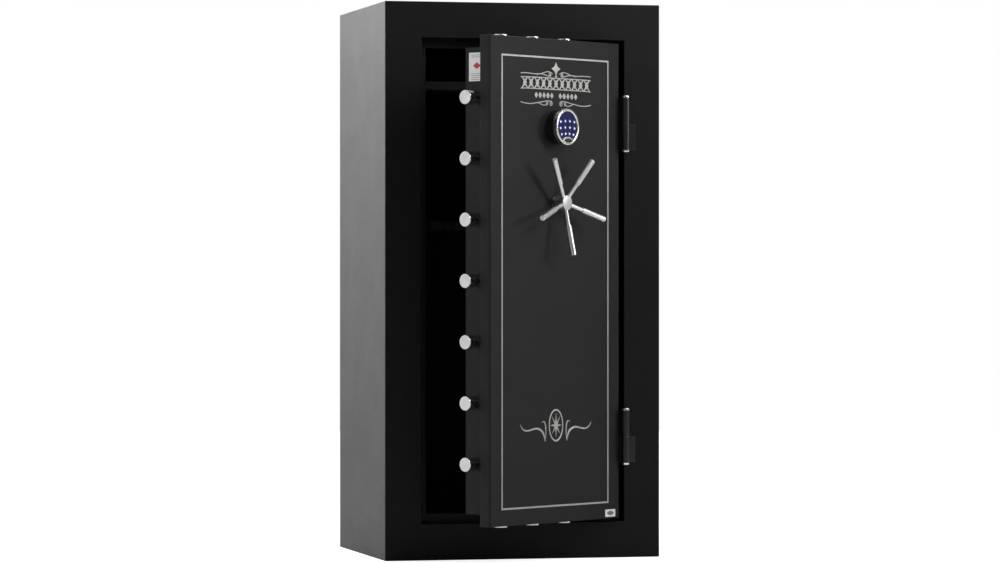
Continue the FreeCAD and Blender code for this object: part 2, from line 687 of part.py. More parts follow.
def make_spoke(index):
    """A tapered grip on a thin rod, leaning forward; the first spoke hangs straight down."""
    radial = SPOKE_TIP_RADIUS - SPOKE_START_RADIUS
    length = math.hypot(radial, SPOKE_TIP_FORWARD)
    lean = math.degrees(math.atan2(SPOKE_TIP_FORWARD, radial))
    grip_end = length - SPOKE_ROUND
    steps = [(0, 0), (SPOKE_ROD_RADIUS, 0), (SPOKE_ROD_RADIUS, SPOKE_GRIP_START)]
    steps += [(SPOKE_GRIP_RADIUS, SPOKE_GRIP_START + SPOKE_SHOULDER), (SPOKE_GRIP_RADIUS, grip_end)]
    steps += [(SPOKE_GRIP_RADIUS - SPOKE_ROUND, length), (0, length)]
    points = [Vector(radius, 0, along) for radius, along in steps]
    face = Part.Face(Part.makePolygon(points + points[:1]))
    spoke = face.revolve(Vector(0, 0, 0), UP, FULL_TURN)
    spoke.translate(UP * SPOKE_START_RADIUS)
    spoke.rotate(UP * SPOKE_START_RADIUS, RIGHT, lean)
    spoke.rotate(Vector(0, 0, 0), INWARD, FULL_TURN / 2 + index * FULL_TURN / SPOKE_COUNT)
    spoke.translate(at(0, HUB_SOCKET_D, HANDLE_Z))
    return spoke


def make_handle_hub(spokes):
    hub = disc(HUB_RADIUS, 0, HANDLE_Z, HUB_FACE_D, HUB_BACK_D)
    hub = round_edges(hub, HUB_ROUND, is_ring_at(HUB_FACE_D))
    neck = disc(NECK_RADIUS, 0, HANDLE_Z, HUB_BACK_D, -NECK_CLEARANCE)
    bore = disc(SHAFT_RADIUS, 0, HANDLE_Z, HUB_SOCKET_D, 0)
    return joined([hub, neck]).cut(bore).cut(spokes)


def make_handle_rosette():
    ring = disc(ROSETTE_RADIUS, 0, HANDLE_Z, -ROSETTE_THICKNESS, 0)
    ring = round_edges(ring, ROSETTE_THICKNESS / 2, is_ring_at(-ROSETTE_THICKNESS))
    return ring.cut(disc(NECK_RADIUS + NECK_CLEARANCE, 0, HANDLE_Z, -ROSETTE_THICKNESS, 0))


def make_shaft_bushing():
    sleeve = disc(BUSHING_RADIUS, 0, HANDLE_Z, 0, DOOR_THICKNESS)
    return sleeve.cut(disc(SHAFT_RADIUS + SHAFT_RUNNING_CLEARANCE, 0, HANDLE_Z, 0, DOOR_THICKNESS))


def involute(angle):
    return math.tan(angle) - angle


def polar(radius, angle):
    """An (x, z) point at a radius and an angle about the handle's axis."""
    return radius * math.cos(angle), HANDLE_Z + radius * math.sin(angle)


def make_drive_pinion():
    """An involute pinion that meshes with all three racks."""
    base_radius = PITCH_RADIUS * math.cos(math.radians(PRESSURE_ANGLE))
    tip_radius = PITCH_RADIUS + ADDENDUM
    root_radius = PITCH_RADIUS - DEDENDUM
    thickness = TOOTH_PITCH / 2 - TOOTH_BACKLASH
    pitch_half_angle = thickness / 2 / PITCH_RADIUS
    flank = [(root_radius, pitch_half_angle + involute(math.radians(PRESSURE_ANGLE)))]
    for step in range(FLANK_STEPS + 1):
        radius = base_radius + (tip_radius - base_radius) * step / FLANK_STEPS
        roll = math.acos(base_radius / radius)
        half_angle = pitch_half_angle + involute(math.radians(PRESSURE_ANGLE)) - involute(roll)
        flank.append((radius, half_angle))
    points = []
    for tooth in range(PINION_TEETH):
        centre = 2 * math.pi * tooth / PINION_TEETH
        for radius, half_angle in flank:
            points.append(polar(radius, centre - half_angle))
        for radius, half_angle in reversed(flank):
            points.append(polar(radius, centre + half_angle))
    gear = outline_solid(points, PINION_FRONT_D, PINION_BACK_D)
    return gear.cut(disc(SHAFT_RADIUS, 0, HANDLE_Z, PINION_FRONT_D, PINION_BACK_D))


spokes = Part.makeCompound([make_spoke(index) for index in range(SPOKE_COUNT)])
keep_on_door("handle_hub", make_handle_hub(spokes))
keep_on_door("handle_spokes", spokes)
keep_on_door("handle_shaft", disc(SHAFT_RADIUS, 0, HANDLE_Z, HUB_SOCKET_D, PINION_BACK_D))
keep_on_door("handle_rosette", make_handle_rosette())
keep_on_door("shaft_bushing", make_shaft_bushing())
keep_on_door("drive_pinion", make_drive_pinion())

# ---------------------------------------------------------------- boltwork


def rack_outline(first_tooth):
    """A rack's outline as (along, away) points: teeth towards the pinion, then its back."""
    slope = math.tan(math.radians(PRESSURE_ANGLE))
    pitch_half = (TOOTH_PITCH / 2 - TOOTH_BACKLASH) / 2
    tip_half = pitch_half - ADDENDUM * slope
    root_half = pitch_half + DEDENDUM * slope
    points = []
    for index in range(first_tooth, first_tooth + RACK_TEETH):
        centre = (index + 0.5) * TOOTH_PITCH
        points.append((centre - root_half, DEDENDUM))
        points.append((centre - tip_half, -ADDENDUM))
        points.append((centre + tip_half, -ADDENDUM))
        points.append((centre + root_half, DEDENDUM))
    start = points[0][0]
    end = points[-1][0]
    return points + [(end, DEDENDUM + RACK_BODY_HEIGHT), (start, DEDENDUM + RACK_BODY_HEIGHT)]


def teeth_behind():
    """Index of the first tooth of a rack whose teeth trail behind its travel."""
    return 2 - RACK_TEETH


def make_bolt(tip, direction, length):
    """A round locking bolt from its chamfered tip back along direction."""
    cone = Part.makeCone(BOLT_RADIUS - BOLT_CHAMFER, BOLT_RADIUS, BOLT_CHAMFER, tip, direction)
    shank = rod(BOLT_RADIUS, tip + direction * BOLT_CHAMFER, direction, length - BOLT_CHAMFER)
    return joined([cone, shank])


def make_left_bar():
    """The upright that carries the side bolts, with arms to the pinion and the lock."""
    d0, d1 = FRONT_LAYER
    root_x = SIDE_BOLT_ROOT_X
    bar_end_x = root_x + BAR_THICKNESS
    low = SIDE_BOLT_ZS[0] - BAR_END_MARGIN
    high = SIDE_BOLT_ZS[-1] + BAR_END_MARGIN
    upright = block(root_x, bar_end_x, d0, BAR_BACK_D, low, high)
    teeth = [(along, HANDLE_Z + PITCH_RADIUS + away) for along, away in rack_outline(teeth_behind())]
    rack = outline_solid(teeth, d0, d1)
    rack_end_x = teeth[-1][0] + CUT_MARGIN
    rack_arm = block(bar_end_x, rack_end_x, d0, d1, HANDLE_Z + STRAP_INNER, HANDLE_Z + STRAP_OUTER)
    lock_arm = block(bar_end_x, LOCK_ARM_END_X, d0, d1, LOCK_ARM_TOP - LOCK_ARM_HEIGHT, LOCK_ARM_TOP)
    notch_x = LOCK_CENTRE_X - LOCK_NOTCH_WIDTH / 2
    notch_z = LOCK_ARM_TOP - LOCK_NOTCH_DEPTH
    notch = block(notch_x, notch_x + LOCK_NOTCH_WIDTH, d0, d1, notch_z, LOCK_ARM_TOP)
    steady_top = STEADY_ARM_Z + STEADY_ARM_HEIGHT
    steady_arm = block(bar_end_x, STEADY_ARM_END_X, d0, d1, STEADY_ARM_Z, steady_top)
    return joined([upright, rack, rack_arm, lock_arm.cut(notch), steady_arm])


def make_end_bar(side, root_z, first_tooth):
    """A cross bar for the top or bottom bolts, with a strap that ends in a rack."""
    d0, d1 = REAR_LAYER
    bar_z = root_z - side * BAR_THICKNESS
    x0 = END_BOLT_XS[0] - BOLT_RADIUS - BAR_THICKNESS
    x1 = END_BOLT_XS[-1] + BOLT_RADIUS + BAR_THICKNESS
    cross = block(x0, x1, d0, BAR_BACK_D, bar_z, root_z)
    outline = rack_outline(first_tooth)
    teeth = [(side * (PITCH_RADIUS + away), HANDLE_Z + along) for along, away in outline]
    rack = outline_solid(teeth, d0, d1)
    heights = [z for x, z in teeth]
    far_z = min(heights) if side < 0 else max(heights)
    strap_z = far_z - side * CUT_MARGIN
    strap = block(side * STRAP_INNER, side * STRAP_OUTER, d0, d1, strap_z, bar_z)
    return joined([cross, rack, strap])


def make_guide(x0, x1, z0, z1, layer):
    """A bridge over a sliding strap, with a foot at each end of its longer side."""
    d_top = layer[1] + GUIDE_ROOF_GAP
    roof = block(x0, x1, d_top, d_top + GUIDE_WALL, z0, z1)
    if x1 - x0 > z1 - z0:
        feet = [block(x0, x0 + GUIDE_WALL, DOOR_THICKNESS, d_top, z0, z1)]
        feet.append(block(x1 - GUIDE_WALL, x1, DOOR_THICKNESS, d_top, z0, z1))
    else:
        feet = [block(x0, x1, DOOR_THICKNESS, d_top, z0, z0 + GUIDE_WALL)]
        feet.append(block(x0, x1, DOOR_THICKNESS, d_top, z1 - GUIDE_WALL, z1))
    return joined([roof] + feet)


def make_bar_guides():
    side = GUIDE_WALL + GUIDE_CLEARANCE
    inner = STRAP_INNER - side
    outer = STRAP_OUTER + side
    guides = []
    for z in TOP_STRAP_GUIDE_ZS:
        guides.append(make_guide(inner, outer, z, z + GUIDE_LENGTH, REAR_LAYER))
    for z in BOTTOM_STRAP_GUIDE_ZS:
        guides.append(make_guide(-outer, -inner, z, z + GUIDE_LENGTH, REAR_LAYER))
    arms = [(HANDLE_Z + STRAP_INNER, HANDLE_Z + STRAP_OUTER)]
    arms.append((LOCK_ARM_TOP - LOCK_ARM_HEIGHT, LOCK_ARM_TOP))
    arms.append((STEADY_ARM_Z, STEADY_ARM_Z + STEADY_ARM_HEIGHT))
    for z0, z1 in arms:
        guides.append(make_guide(GUIDE_X, GUIDE_X + GUIDE_LENGTH, z0 - side, z1 + side, FRONT_LAYER))
    return Part.makeCompound(guides)


side_bolts = [make_bolt(at(SIDE_BOLT_TIP_X, BOLT_AXIS_D, z), RIGHT, SIDE_BOLT_LENGTH) for z in SIDE_BOLT_ZS]
top_bolts = [make_bolt(at(x, BOLT_AXIS_D, TOP_BOLT_TIP_Z), UP * -1, END_BOLT_LENGTH) for x in END_BOLT_XS]
bottom_bolts = [make_bolt(at(x, BOLT_AXIS_D, BOTTOM_BOLT_TIP_Z), UP, END_BOLT_LENGTH) for x in END_BOLT_XS]
keep_on_door("side_bolts", Part.makeCompound(side_bolts))
keep_on_door("top_bolts", Part.makeCompound(top_bolts))
keep_on_door("bottom_bolts", Part.makeCompound(bottom_bolts))
keep_on_door("side_bolt_bar", make_left_bar())
keep_on_door("top_bolt_bar", make_end_bar(1, TOP_BOLT_ROOT_Z, TOP_RACK_FIRST_TOOTH))
keep_on_door("bottom_bolt_bar", make_end_bar(-1, BOTTOM_BOLT_ROOT_Z, teeth_behind()))
keep_on_door("bar_guides", make_bar_guides())

# ---------------------------------------------------------------- lock


def lock_bolt_block(clearance, overrun):
    """The lock's bolt, or the channel it slides in when given a clearance and an overrun."""
    half = LOCK_BOLT_WIDTH / 2 + clearance
    x0 = LOCK_CENTRE_X - half
    x1 = LOCK_CENTRE_X + half
    d0 = LOCK_BOLT_LAYER[0] - clearance
    d1 = LOCK_BOLT_LAYER[1] + clearance
    z0 = LOCK_Z0 + LOCK_BOLT_INSET
    return block(x0, x1, d0, d1, z0 - overrun, z0 + LOCK_BOLT_LENGTH + overrun)


def make_lock_case():
    half = LOCK_WIDTH / 2
    case = block(LOCK_CENTRE_X - half, LOCK_CENTRE_X + half, DOOR_THICKNESS, LOCK_BACK_D, LOCK_Z0, LOCK_Z1)
    return case.cut(lock_bolt_block(LOCK_BOLT_CLEARANCE, LOCK_CHANNEL_OVERRUN))


keep_on_door("lock_case", make_lock_case())
keep_on_door("lock_bolt", lock_bolt_block(0.0, 0.0))

# ---------------------------------------------------------------- export

for name, shape in nodes.items():
    if not shape.isValid() or not all(solid.isClosed() for solid in shape.Solids):
        raise ValueError("the shape of %s isn't a closed, valid solid" % name)
    shape.exportStep("parts/%s.step" % name)

print("%d nodes, pitch radius %.4f mm, module %.4f mm" % (len(nodes), PITCH_RADIUS, GEAR_MODULE))
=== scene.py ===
# %% [markdown]
# # A gun safe with its door ajar
# A gun safe is a folded steel cabinet with a recessed doorway, a thick door on two outside hinges,
# and a row of locking bolts that a spoked handle draws in. The CAD frame already holds the sizes
# and the motion. This lesson dresses it: rounded sheet steel, turned chrome, raised silver paint,
# a lit keypad and carpeted fittings, each made with the bmesh operator that a maker's tool suggests.

# %% Load the frame and keep the size of the CAD model
import json
import math

import bmesh
import bpy
from mathutils import Matrix, Vector


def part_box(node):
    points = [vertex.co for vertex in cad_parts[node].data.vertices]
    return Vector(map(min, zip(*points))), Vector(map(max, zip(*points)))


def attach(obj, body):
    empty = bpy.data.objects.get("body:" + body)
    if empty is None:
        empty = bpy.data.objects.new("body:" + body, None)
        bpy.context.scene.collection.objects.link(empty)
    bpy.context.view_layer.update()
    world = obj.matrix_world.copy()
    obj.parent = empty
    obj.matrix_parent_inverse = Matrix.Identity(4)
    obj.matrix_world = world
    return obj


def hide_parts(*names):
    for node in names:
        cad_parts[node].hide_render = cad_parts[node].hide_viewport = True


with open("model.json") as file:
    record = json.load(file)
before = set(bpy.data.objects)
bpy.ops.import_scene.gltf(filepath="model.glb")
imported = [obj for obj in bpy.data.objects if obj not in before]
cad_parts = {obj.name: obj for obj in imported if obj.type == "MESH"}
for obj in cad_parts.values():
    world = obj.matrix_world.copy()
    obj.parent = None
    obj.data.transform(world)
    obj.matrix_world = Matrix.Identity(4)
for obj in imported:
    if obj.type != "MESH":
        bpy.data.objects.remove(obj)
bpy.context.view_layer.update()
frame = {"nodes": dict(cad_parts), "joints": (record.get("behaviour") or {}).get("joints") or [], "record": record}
nodes = frame["nodes"]
joints = {joint["name"]: joint for joint in frame["joints"]}
scene = bpy.context.scene
MM = 0.001

# %% [markdown]
# ## The door's own coordinates
# The door stands open, so its pieces are drawn in the door's own directions: across it towards the
# hinges, inward through it, and up. The handle's axis points straight into the door, and the side
# bolts slide across it, so those two joints give the directions. The origin lies on the door's
# centreline at its front face, at floor height.

# %% Work out the door's place
handle_axle = Vector(joints["handle_turn"]["pos_m"])
inward = Vector(joints["handle_turn"]["axis"])
across = Vector(joints["side_bolts_slide"]["axis"])
up = Vector((0, 0, 1))
door_turn = Matrix((across, inward, up)).transposed().to_4x4()
on_door = Matrix.Translation((handle_axle.x, handle_axle.y, 0)) @ door_turn
in_cabinet = Matrix.Identity(4)
UPRIGHT = Matrix.Rotation(math.radians(90), 4, "X")


def extent(node, place=on_door):
    """Lowest and highest corner of a CAD node, in the directions of a place."""
    corners = [place.inverted() @ vertex.co for vertex in nodes[node].data.vertices]
    low = Vector([min(corner[axis] for corner in corners) for axis in range(3)])
    high = Vector([max(corner[axis] for corner in corners) for axis in range(3)])
    return low, high


door_low, door_high = extent("door_skin")
print("door skin, mm:", [round(size / MM, 1) for size in door_high - door_low])

# %% [markdown]
# ## Camera
# A long lens from about eleven metres away keeps the cabinet's uprights almost parallel. The camera
# is level, at half the cabinet's height, and looks past the corner so that a narrow strip of the
# left side shows beside the front.

# %% Place the camera
CAMERA_PLACE = (-2.6505, -10.908, 0.748)
CAMERA_TURN = math.radians(-13.705)
CAMERA_LENS = 145.93
camera_data = bpy.data.cameras.new("camera")
camera_data.lens = CAMERA_LENS
camera = bpy.data.objects.new("camera", camera_data)
camera.location = CAMERA_PLACE
camera.rotation_euler = (math.radians(90), 0, CAMERA_TURN)
scene.collection.objects.link(camera)
scene.camera = camera
print("camera", [round(value, 2) for value in CAMERA_PLACE])

# %% [markdown]
# ## Studio light
# Black paint shows little but what it reflects, so the room decides how it looks. The wall behind
# the cabinet is bright, which the left side catches at a glancing angle. The wall behind the camera
# is dark, so the frame stays nearly black. Left, right and ceiling glow softly. The key lamp at the
# right lights the open door and throws the spokes' shadows to the left, and a second one above it
# lights the door's top. Two lamps behind brighten the left side and the upper edges, and a weak one
# in front puts the glints on the handle.
# The paints are mixed darker than real powder coat, to suit these lamps. The cabinet and the door
# wear one black powder coat, yet the door's paint is mixed much lighter than the cabinet's: the
# lighter mix is painted light on the open door, and the darker mix is painted shade on the frame.
# The paints are mixed darker than real powder coat, to suit these lamps.
#
# The room is a world shader that reads the direction of each ray. Rays from the camera see plain
# white, so the object stands on a clean background.

# %% Helpers for node trees
def add_node(tree, kind, **settings):
    """Adds a node, and sets its named properties or the default values of its inputs."""
    node = tree.nodes.new(kind)
    for name, value in settings.items():
        if hasattr(node, name):
            setattr(node, name, value)
        else:
            node.inputs[name.replace("_", " ")].default_value = value
    return node


def ramp_value(tree, source, low, high, to_low, to_high):
    """Maps a value smoothly from one range to another."""
    node = add_node(tree, "ShaderNodeMapRange", interpolation_type="SMOOTHSTEP")
    for index, value in enumerate((low, high, to_low, to_high), start=1):
        node.inputs[index].default_value = value
    tree.links.new(source, node.inputs[0])
    return node.outputs[0]


def calculate(tree, operation, first, second):
    """A Math node on two values, each a socket or a number."""
    node = add_node(tree, "ShaderNodeMath", operation=operation)
    for index, value in enumerate((first, second)):
        if isinstance(value, (int, float)):
            node.inputs[index].default_value = value
        else:
            tree.links.new(value, node.inputs[index])
    return node.outputs[0]


print("node helpers ready")

# %% Build the room as a world
ROOM_BASE = 0.06
LEFT_LEVEL = 0.82
ROOM_WALLS = {
    "back": ("Y", 0.25, 0.95, 1.42),
    "right": ("X", 0.35, 1.0, 0.24),
    "ceiling": ("Z", 0.3, 1.0, 0.45),
}
world = bpy.data.worlds.new("studio")
world.use_nodes = True
scene.world = world
tree = world.node_tree
background = tree.nodes["Background"]
directions = add_node(tree, "ShaderNodeSeparateXYZ")
tree.links.new(add_node(tree, "ShaderNodeTexCoord").outputs["Generated"], directions.inputs[0])
brightness = None
for wall, (axis, start, full, level) in ROOM_WALLS.items():
    glow = ramp_value(tree, directions.outputs[axis], start, full, 0, level)
    brightness = calculate(tree, "ADD", glow, ROOM_BASE if brightness is None else brightness)
leftward = calculate(tree, "MULTIPLY", directions.outputs["X"], -1)
left_glow = ramp_value(tree, leftward, 0.45, 1.0, 0, LEFT_LEVEL)
brightness = calculate(tree, "ADD", brightness, left_glow)
seen_by_camera = add_node(tree, "ShaderNodeLightPath").outputs["Is Camera Ray"]
brightness = calculate(tree, "MAXIMUM", brightness, seen_by_camera)
brightness_for_camera = calculate(tree, "MINIMUM", brightness, 1.0)
mix = add_node(tree, "ShaderNodeMix", data_type="FLOAT")
tree.links.new(seen_by_camera, mix.inputs[0])
tree.links.new(brightness, mix.inputs[2])
tree.links.new(brightness_for_camera, mix.inputs[3])
tree.links.new(mix.outputs[0], background.inputs["Strength"])
background.inputs["Color"].default_value = (1, 1, 1, 1)
scene.view_settings.view_transform = "Standard"
print("room walls:", list(ROOM_WALLS))

# %% Hang the lamps
def add_lamp(name, place, target, size, power):
    """A rectangular area lamp that looks at a point."""
    data = bpy.data.lights.new(name, "AREA")
    data.shape = "RECTANGLE"
    data.size, data.size_y = size
    data.energy = power
    lamp = bpy.data.objects.new(name, data)
    lamp.location = place
    lamp.rotation_euler = (Vector(target) - Vector(place)).to_track_quat("-Z", "Y").to_euler()
    scene.collection.objects.link(lamp)
    return lamp


DOOR_MIDDLE = (0.05, -0.45, 0.95)
LAMPS = {
    "key": ((3.35, -1.6, 1.8), DOOR_MIDDLE, (0.8, 0.9), 27),
    "high_right": ((1.5, -1.9, 2.6), (0.0, -0.45, 1.4), (1.2, 1.0), 34),
    "left_back": ((-2.6, 3.2, 2.4), (-0.4, 0.0, 1.4), (1.6, 1.2), 86),
    "top_back": ((-0.6, 0.9, 3.0), (0.0, -0.5, 1.2), (0.6, 0.6), 9),
    "handle_glint": ((-1.0, -6.0, 1.9), DOOR_MIDDLE, (0.9, 1.6), 1.2),
}
for name, settings in LAMPS.items():
    add_lamp(name, *settings)
print("lamps:", list(LAMPS))

# %% [markdown]
# ## Floor
# The floor is a wide disc of pale matt paint. It glows a little more the further it is from the
# cabinet, so that it melts into the white behind and keeps a soft shadow near the feet.

# %% Lay the floor
FLOOR_RADIUS = 9.0
FLOOR_DROP = 0.0005
GLOW_NEAR, GLOW_FAR = 0.4, 1.0
bm = bmesh.new()
bmesh.ops.create_circle(bm, cap_ends=True, segments=96, radius=FLOOR_RADIUS)
floor_mesh = bpy.data.meshes.new("floor")
bm.to_mesh(floor_mesh)
bm.free()
floor = bpy.data.objects.new("floor", floor_mesh)
floor.location.z = -FLOOR_DROP
scene.collection.objects.link(floor)
floor_paint = bpy.data.materials.new("floor_paint")
floor_paint.use_nodes = True
tree = floor_paint.node_tree
shader = tree.nodes["Principled BSDF"]
shader.inputs["Base Color"].default_value = (0.82, 0.82, 0.82, 1)
shader.inputs["Roughness"].default_value = 0.9
shader.inputs["Emission Color"].default_value = (1, 1, 1, 1)
distance = add_node(tree, "ShaderNodeVectorMath", operation="LENGTH")
tree.links.new(add_node(tree, "ShaderNodeTexCoord").outputs["Object"], distance.inputs[0])
far_glow = ramp_value(tree, distance.outputs["Value"], GLOW_NEAR, GLOW_FAR, 0.8, 1.0)
camera_only = add_node(tree, "ShaderNodeLightPath").outputs["Is Camera Ray"]
tree.links.new(calculate(tree, "MULTIPLY", far_glow, camera_only), shader.inputs["Emission Strength"])
floor_mesh.materials.append(floor_paint)
print("floor radius", FLOOR_RADIUS, "m")

# %% [markdown]
# ## Finishes
# Several finishes share an effect, so each effect is a node group: powder-coat grain, brushed
# metal, machine turning, carpet pile, and dust that settles on faces that look up. A group puts out
# only values and colours, and each material keeps its own shader. Every pattern reads Object
# coordinates in metres, so its scale is the real one.

# %% A helper that opens a node group
def open_group(name, inputs, outputs):
    """Makes a shader node group with float inputs and outputs, and returns it with its two ends."""
    group = bpy.data.node_groups.new(name, "ShaderNodeTree")
    for socket, default in inputs.items():
        made = group.interface.new_socket(name=socket, in_out="INPUT", socket_type="NodeSocketFloat")
        made.default_value = default
    for socket in outputs:
        group.interface.new_socket(name=socket, in_out="OUTPUT", socket_type="NodeSocketFloat")
    return group, add_node(group, "NodeGroupInput"), add_node(group, "NodeGroupOutput")


def noise(tree, scale, detail=2.0, vector=None, roughness=0.5):
    """A Noise texture on Object coordinates, or on a given vector."""
    texture = add_node(tree, "ShaderNodeTexNoise", Detail=detail, Roughness=roughness)
    if isinstance(scale, (int, float)):
        texture.inputs["Scale"].default_value = scale
    else:
        tree.links.new(scale, texture.inputs["Scale"])
    if vector is None:
        vector = add_node(tree, "ShaderNodeTexCoord").outputs["Object"]
    tree.links.new(vector, texture.inputs["Vector"])
    return texture.outputs["Fac"]


print("group helpers ready")

# %% Powder-coat grain
# Powder that melts on the sheet leaves rounded grains about a millimetre across, in patches that
# are a little thicker or thinner.
grain, grain_in, grain_out = open_group("powder_grain", {"Scale": 650.0}, ["Height", "Shade"])
fine = noise(grain, grain_in.outputs["Scale"], detail=3.0)
pebbles = ramp_value(grain, fine, 0.38, 0.66, 0, 1)
patches = noise(grain, 9.0, detail=4.0)
relief = calculate(grain, "ADD", pebbles, calculate(grain, "MULTIPLY", patches, 0.3))
grain.links.new(relief, grain_out.inputs["Height"])
speckle = calculate(grain, "MULTIPLY", pebbles, ramp_value(grain, patches, 0.3, 0.7, 0.6, 1))
grain.links.new(speckle, grain_out.inputs["Shade"])
print("group", grain.name)

# %% Brushed metal and smudges
# Belt-polished chrome has faint lines along one direction, and hands leave larger dull patches.
brushed, brushed_in, brushed_out = open_group("brushed_metal", {"Scale": 900.0}, ["Height", "Smudge"])
stretch = add_node(brushed, "ShaderNodeMapping", vector_type="POINT")
stretch.inputs["Scale"].default_value = (1, 1, 0.04)
brushed.links.new(add_node(brushed, "ShaderNodeTexCoord").outputs["Object"], stretch.inputs["Vector"])
lines = noise(brushed, brushed_in.outputs["Scale"], vector=stretch.outputs["Vector"])
brushed.links.new(lines, brushed_out.inputs["Height"])
smudges = ramp_value(brushed, noise(brushed, 45.0, detail=5.0), 0.4, 0.7, 0, 1)
brushed.links.new(smudges, brushed_out.inputs["Smudge"])
print("group", brushed.name)

# %% Machine turning
# A lathe leaves rings round the axis. Each turned piece stores the distance from its own axis in an
# attribute named turning, in metres, and the rings follow it.
rings, rings_in, rings_out = open_group("machine_turning", {"Rings per metre": 2500.0}, ["Height"])
turning = add_node(rings, "ShaderNodeAttribute", attribute_name="turning")
phase = calculate(rings, "MULTIPLY", turning.outputs["Fac"], rings_in.outputs["Rings per metre"])
wave = calculate(rings, "MULTIPLY", phase, math.tau)
rings.links.new(calculate(rings, "SINE", wave, 0.0), rings_out.inputs["Height"])
print("group", rings.name)

# %% Carpet pile
# The lining is a short felt: fibres under a millimetre, in soft tufts that lie this way and that.
pile, pile_in, pile_out = open_group("carpet_pile", {"Scale": 1400.0}, ["Height", "Shade"])
fibres = noise(pile, pile_in.outputs["Scale"], detail=4.0, roughness=0.7)
tufts = noise(pile, 160.0, detail=3.0)
pile.links.new(calculate(pile, "ADD", fibres, tufts), pile_out.inputs["Height"])
shade = calculate(pile, "MULTIPLY", fibres, ramp_value(pile, tufts, 0.3, 0.7, 0.5, 1))
pile.links.new(shade, pile_out.inputs["Shade"])
print("group", pile.name)

# %% Dust
# Dust lies only where a face looks up, thicker in some places than in others.
dust, dust_in, dust_out = open_group("settled_dust", {"Amount": 0.3}, ["Mask"])
facing = add_node(dust, "ShaderNodeSeparateXYZ")
dust.links.new(add_node(dust, "ShaderNodeNewGeometry").outputs["Normal"], facing.inputs[0])
upward = ramp_value(dust, facing.outputs["Z"], 0.6, 1.0, 0, 1)
drift = ramp_value(dust, noise(dust, 14.0, detail=6.0), 0.35, 0.75, 0.2, 1)
settling = calculate(dust, "MULTIPLY", upward, drift)
lying = calculate(dust, "MULTIPLY", settling, dust_in.outputs["Amount"])
dust.links.new(lying, dust_out.inputs["Mask"])
print("group", dust.name)

# %% [markdown]
# ## One recipe for every finish
# A finish is a Principled shader with two colours mixed by a pattern's mask, a roughness that
# follows the same mask, and a bump from the pattern's height. One function wires this for all of
# them, so each finish is a short line of values.

# %% The finish recipe
DUST_COLOUR = (0.16, 0.155, 0.15)


def place_group(tree, group, **values):
    """Puts a node group in a material, and sets its named inputs."""
    node = tree.nodes.new("ShaderNodeGroup")
    node.node_tree = group
    for name, value in values.items():
        node.inputs[name.replace("_", " ")].default_value = value
    return node


def mix_colours(tree, mask, first, second):
    """Mixes two colours by a mask. Each colour is a socket or three numbers."""
    node = add_node(tree, "ShaderNodeMix", data_type="RGBA")
    tree.links.new(mask, node.inputs[0])
    for socket, colour in ((node.inputs[6], first), (node.inputs[7], second)):
        if isinstance(colour, tuple):
            socket.default_value = (*colour, 1)
        else:
            tree.links.new(colour, socket)
    return node.outputs[2]


def make_finish(name, group, mask, dark, light, smooth, rough, bump, scale=None, dusty=0.0, lathe=0.0,
                **shader_values):
    """A material whose colour, roughness and bump follow one pattern group."""
    material = bpy.data.materials.new(name)
    material.use_nodes = True
    tree = material.node_tree
    shader = tree.nodes["Principled BSDF"]
    pattern = place_group(tree, group, **({} if scale is None else scale))
    masked = pattern.outputs[mask]
    colour = mix_colours(tree, masked, dark, light)
    roughness = ramp_value(tree, masked, 0, 1, smooth, rough)
    if dusty:
        settled = place_group(tree, dust, Amount=dusty).outputs["Mask"]
        colour = mix_colours(tree, settled, colour, DUST_COLOUR)
        roughness = calculate(tree, "ADD", roughness, calculate(tree, "MULTIPLY", settled, 0.3))
    tree.links.new(colour, shader.inputs["Base Color"])
    tree.links.new(roughness, shader.inputs["Roughness"])
    height = pattern.outputs["Height"]
    if lathe:
        ring_height = place_group(tree, rings).outputs["Height"]
        height = calculate(tree, "ADD", height, calculate(tree, "MULTIPLY", ring_height, lathe))
    surface = add_node(tree, "ShaderNodeBump", Strength=1.0, Distance=bump)
    tree.links.new(height, surface.inputs["Height"])
    tree.links.new(surface.outputs["Normal"], shader.inputs["Normal"])
    for socket, value in shader_values.items():
        shader.inputs[socket.replace("_", " ")].default_value = value
    return material


print("finish recipe ready")

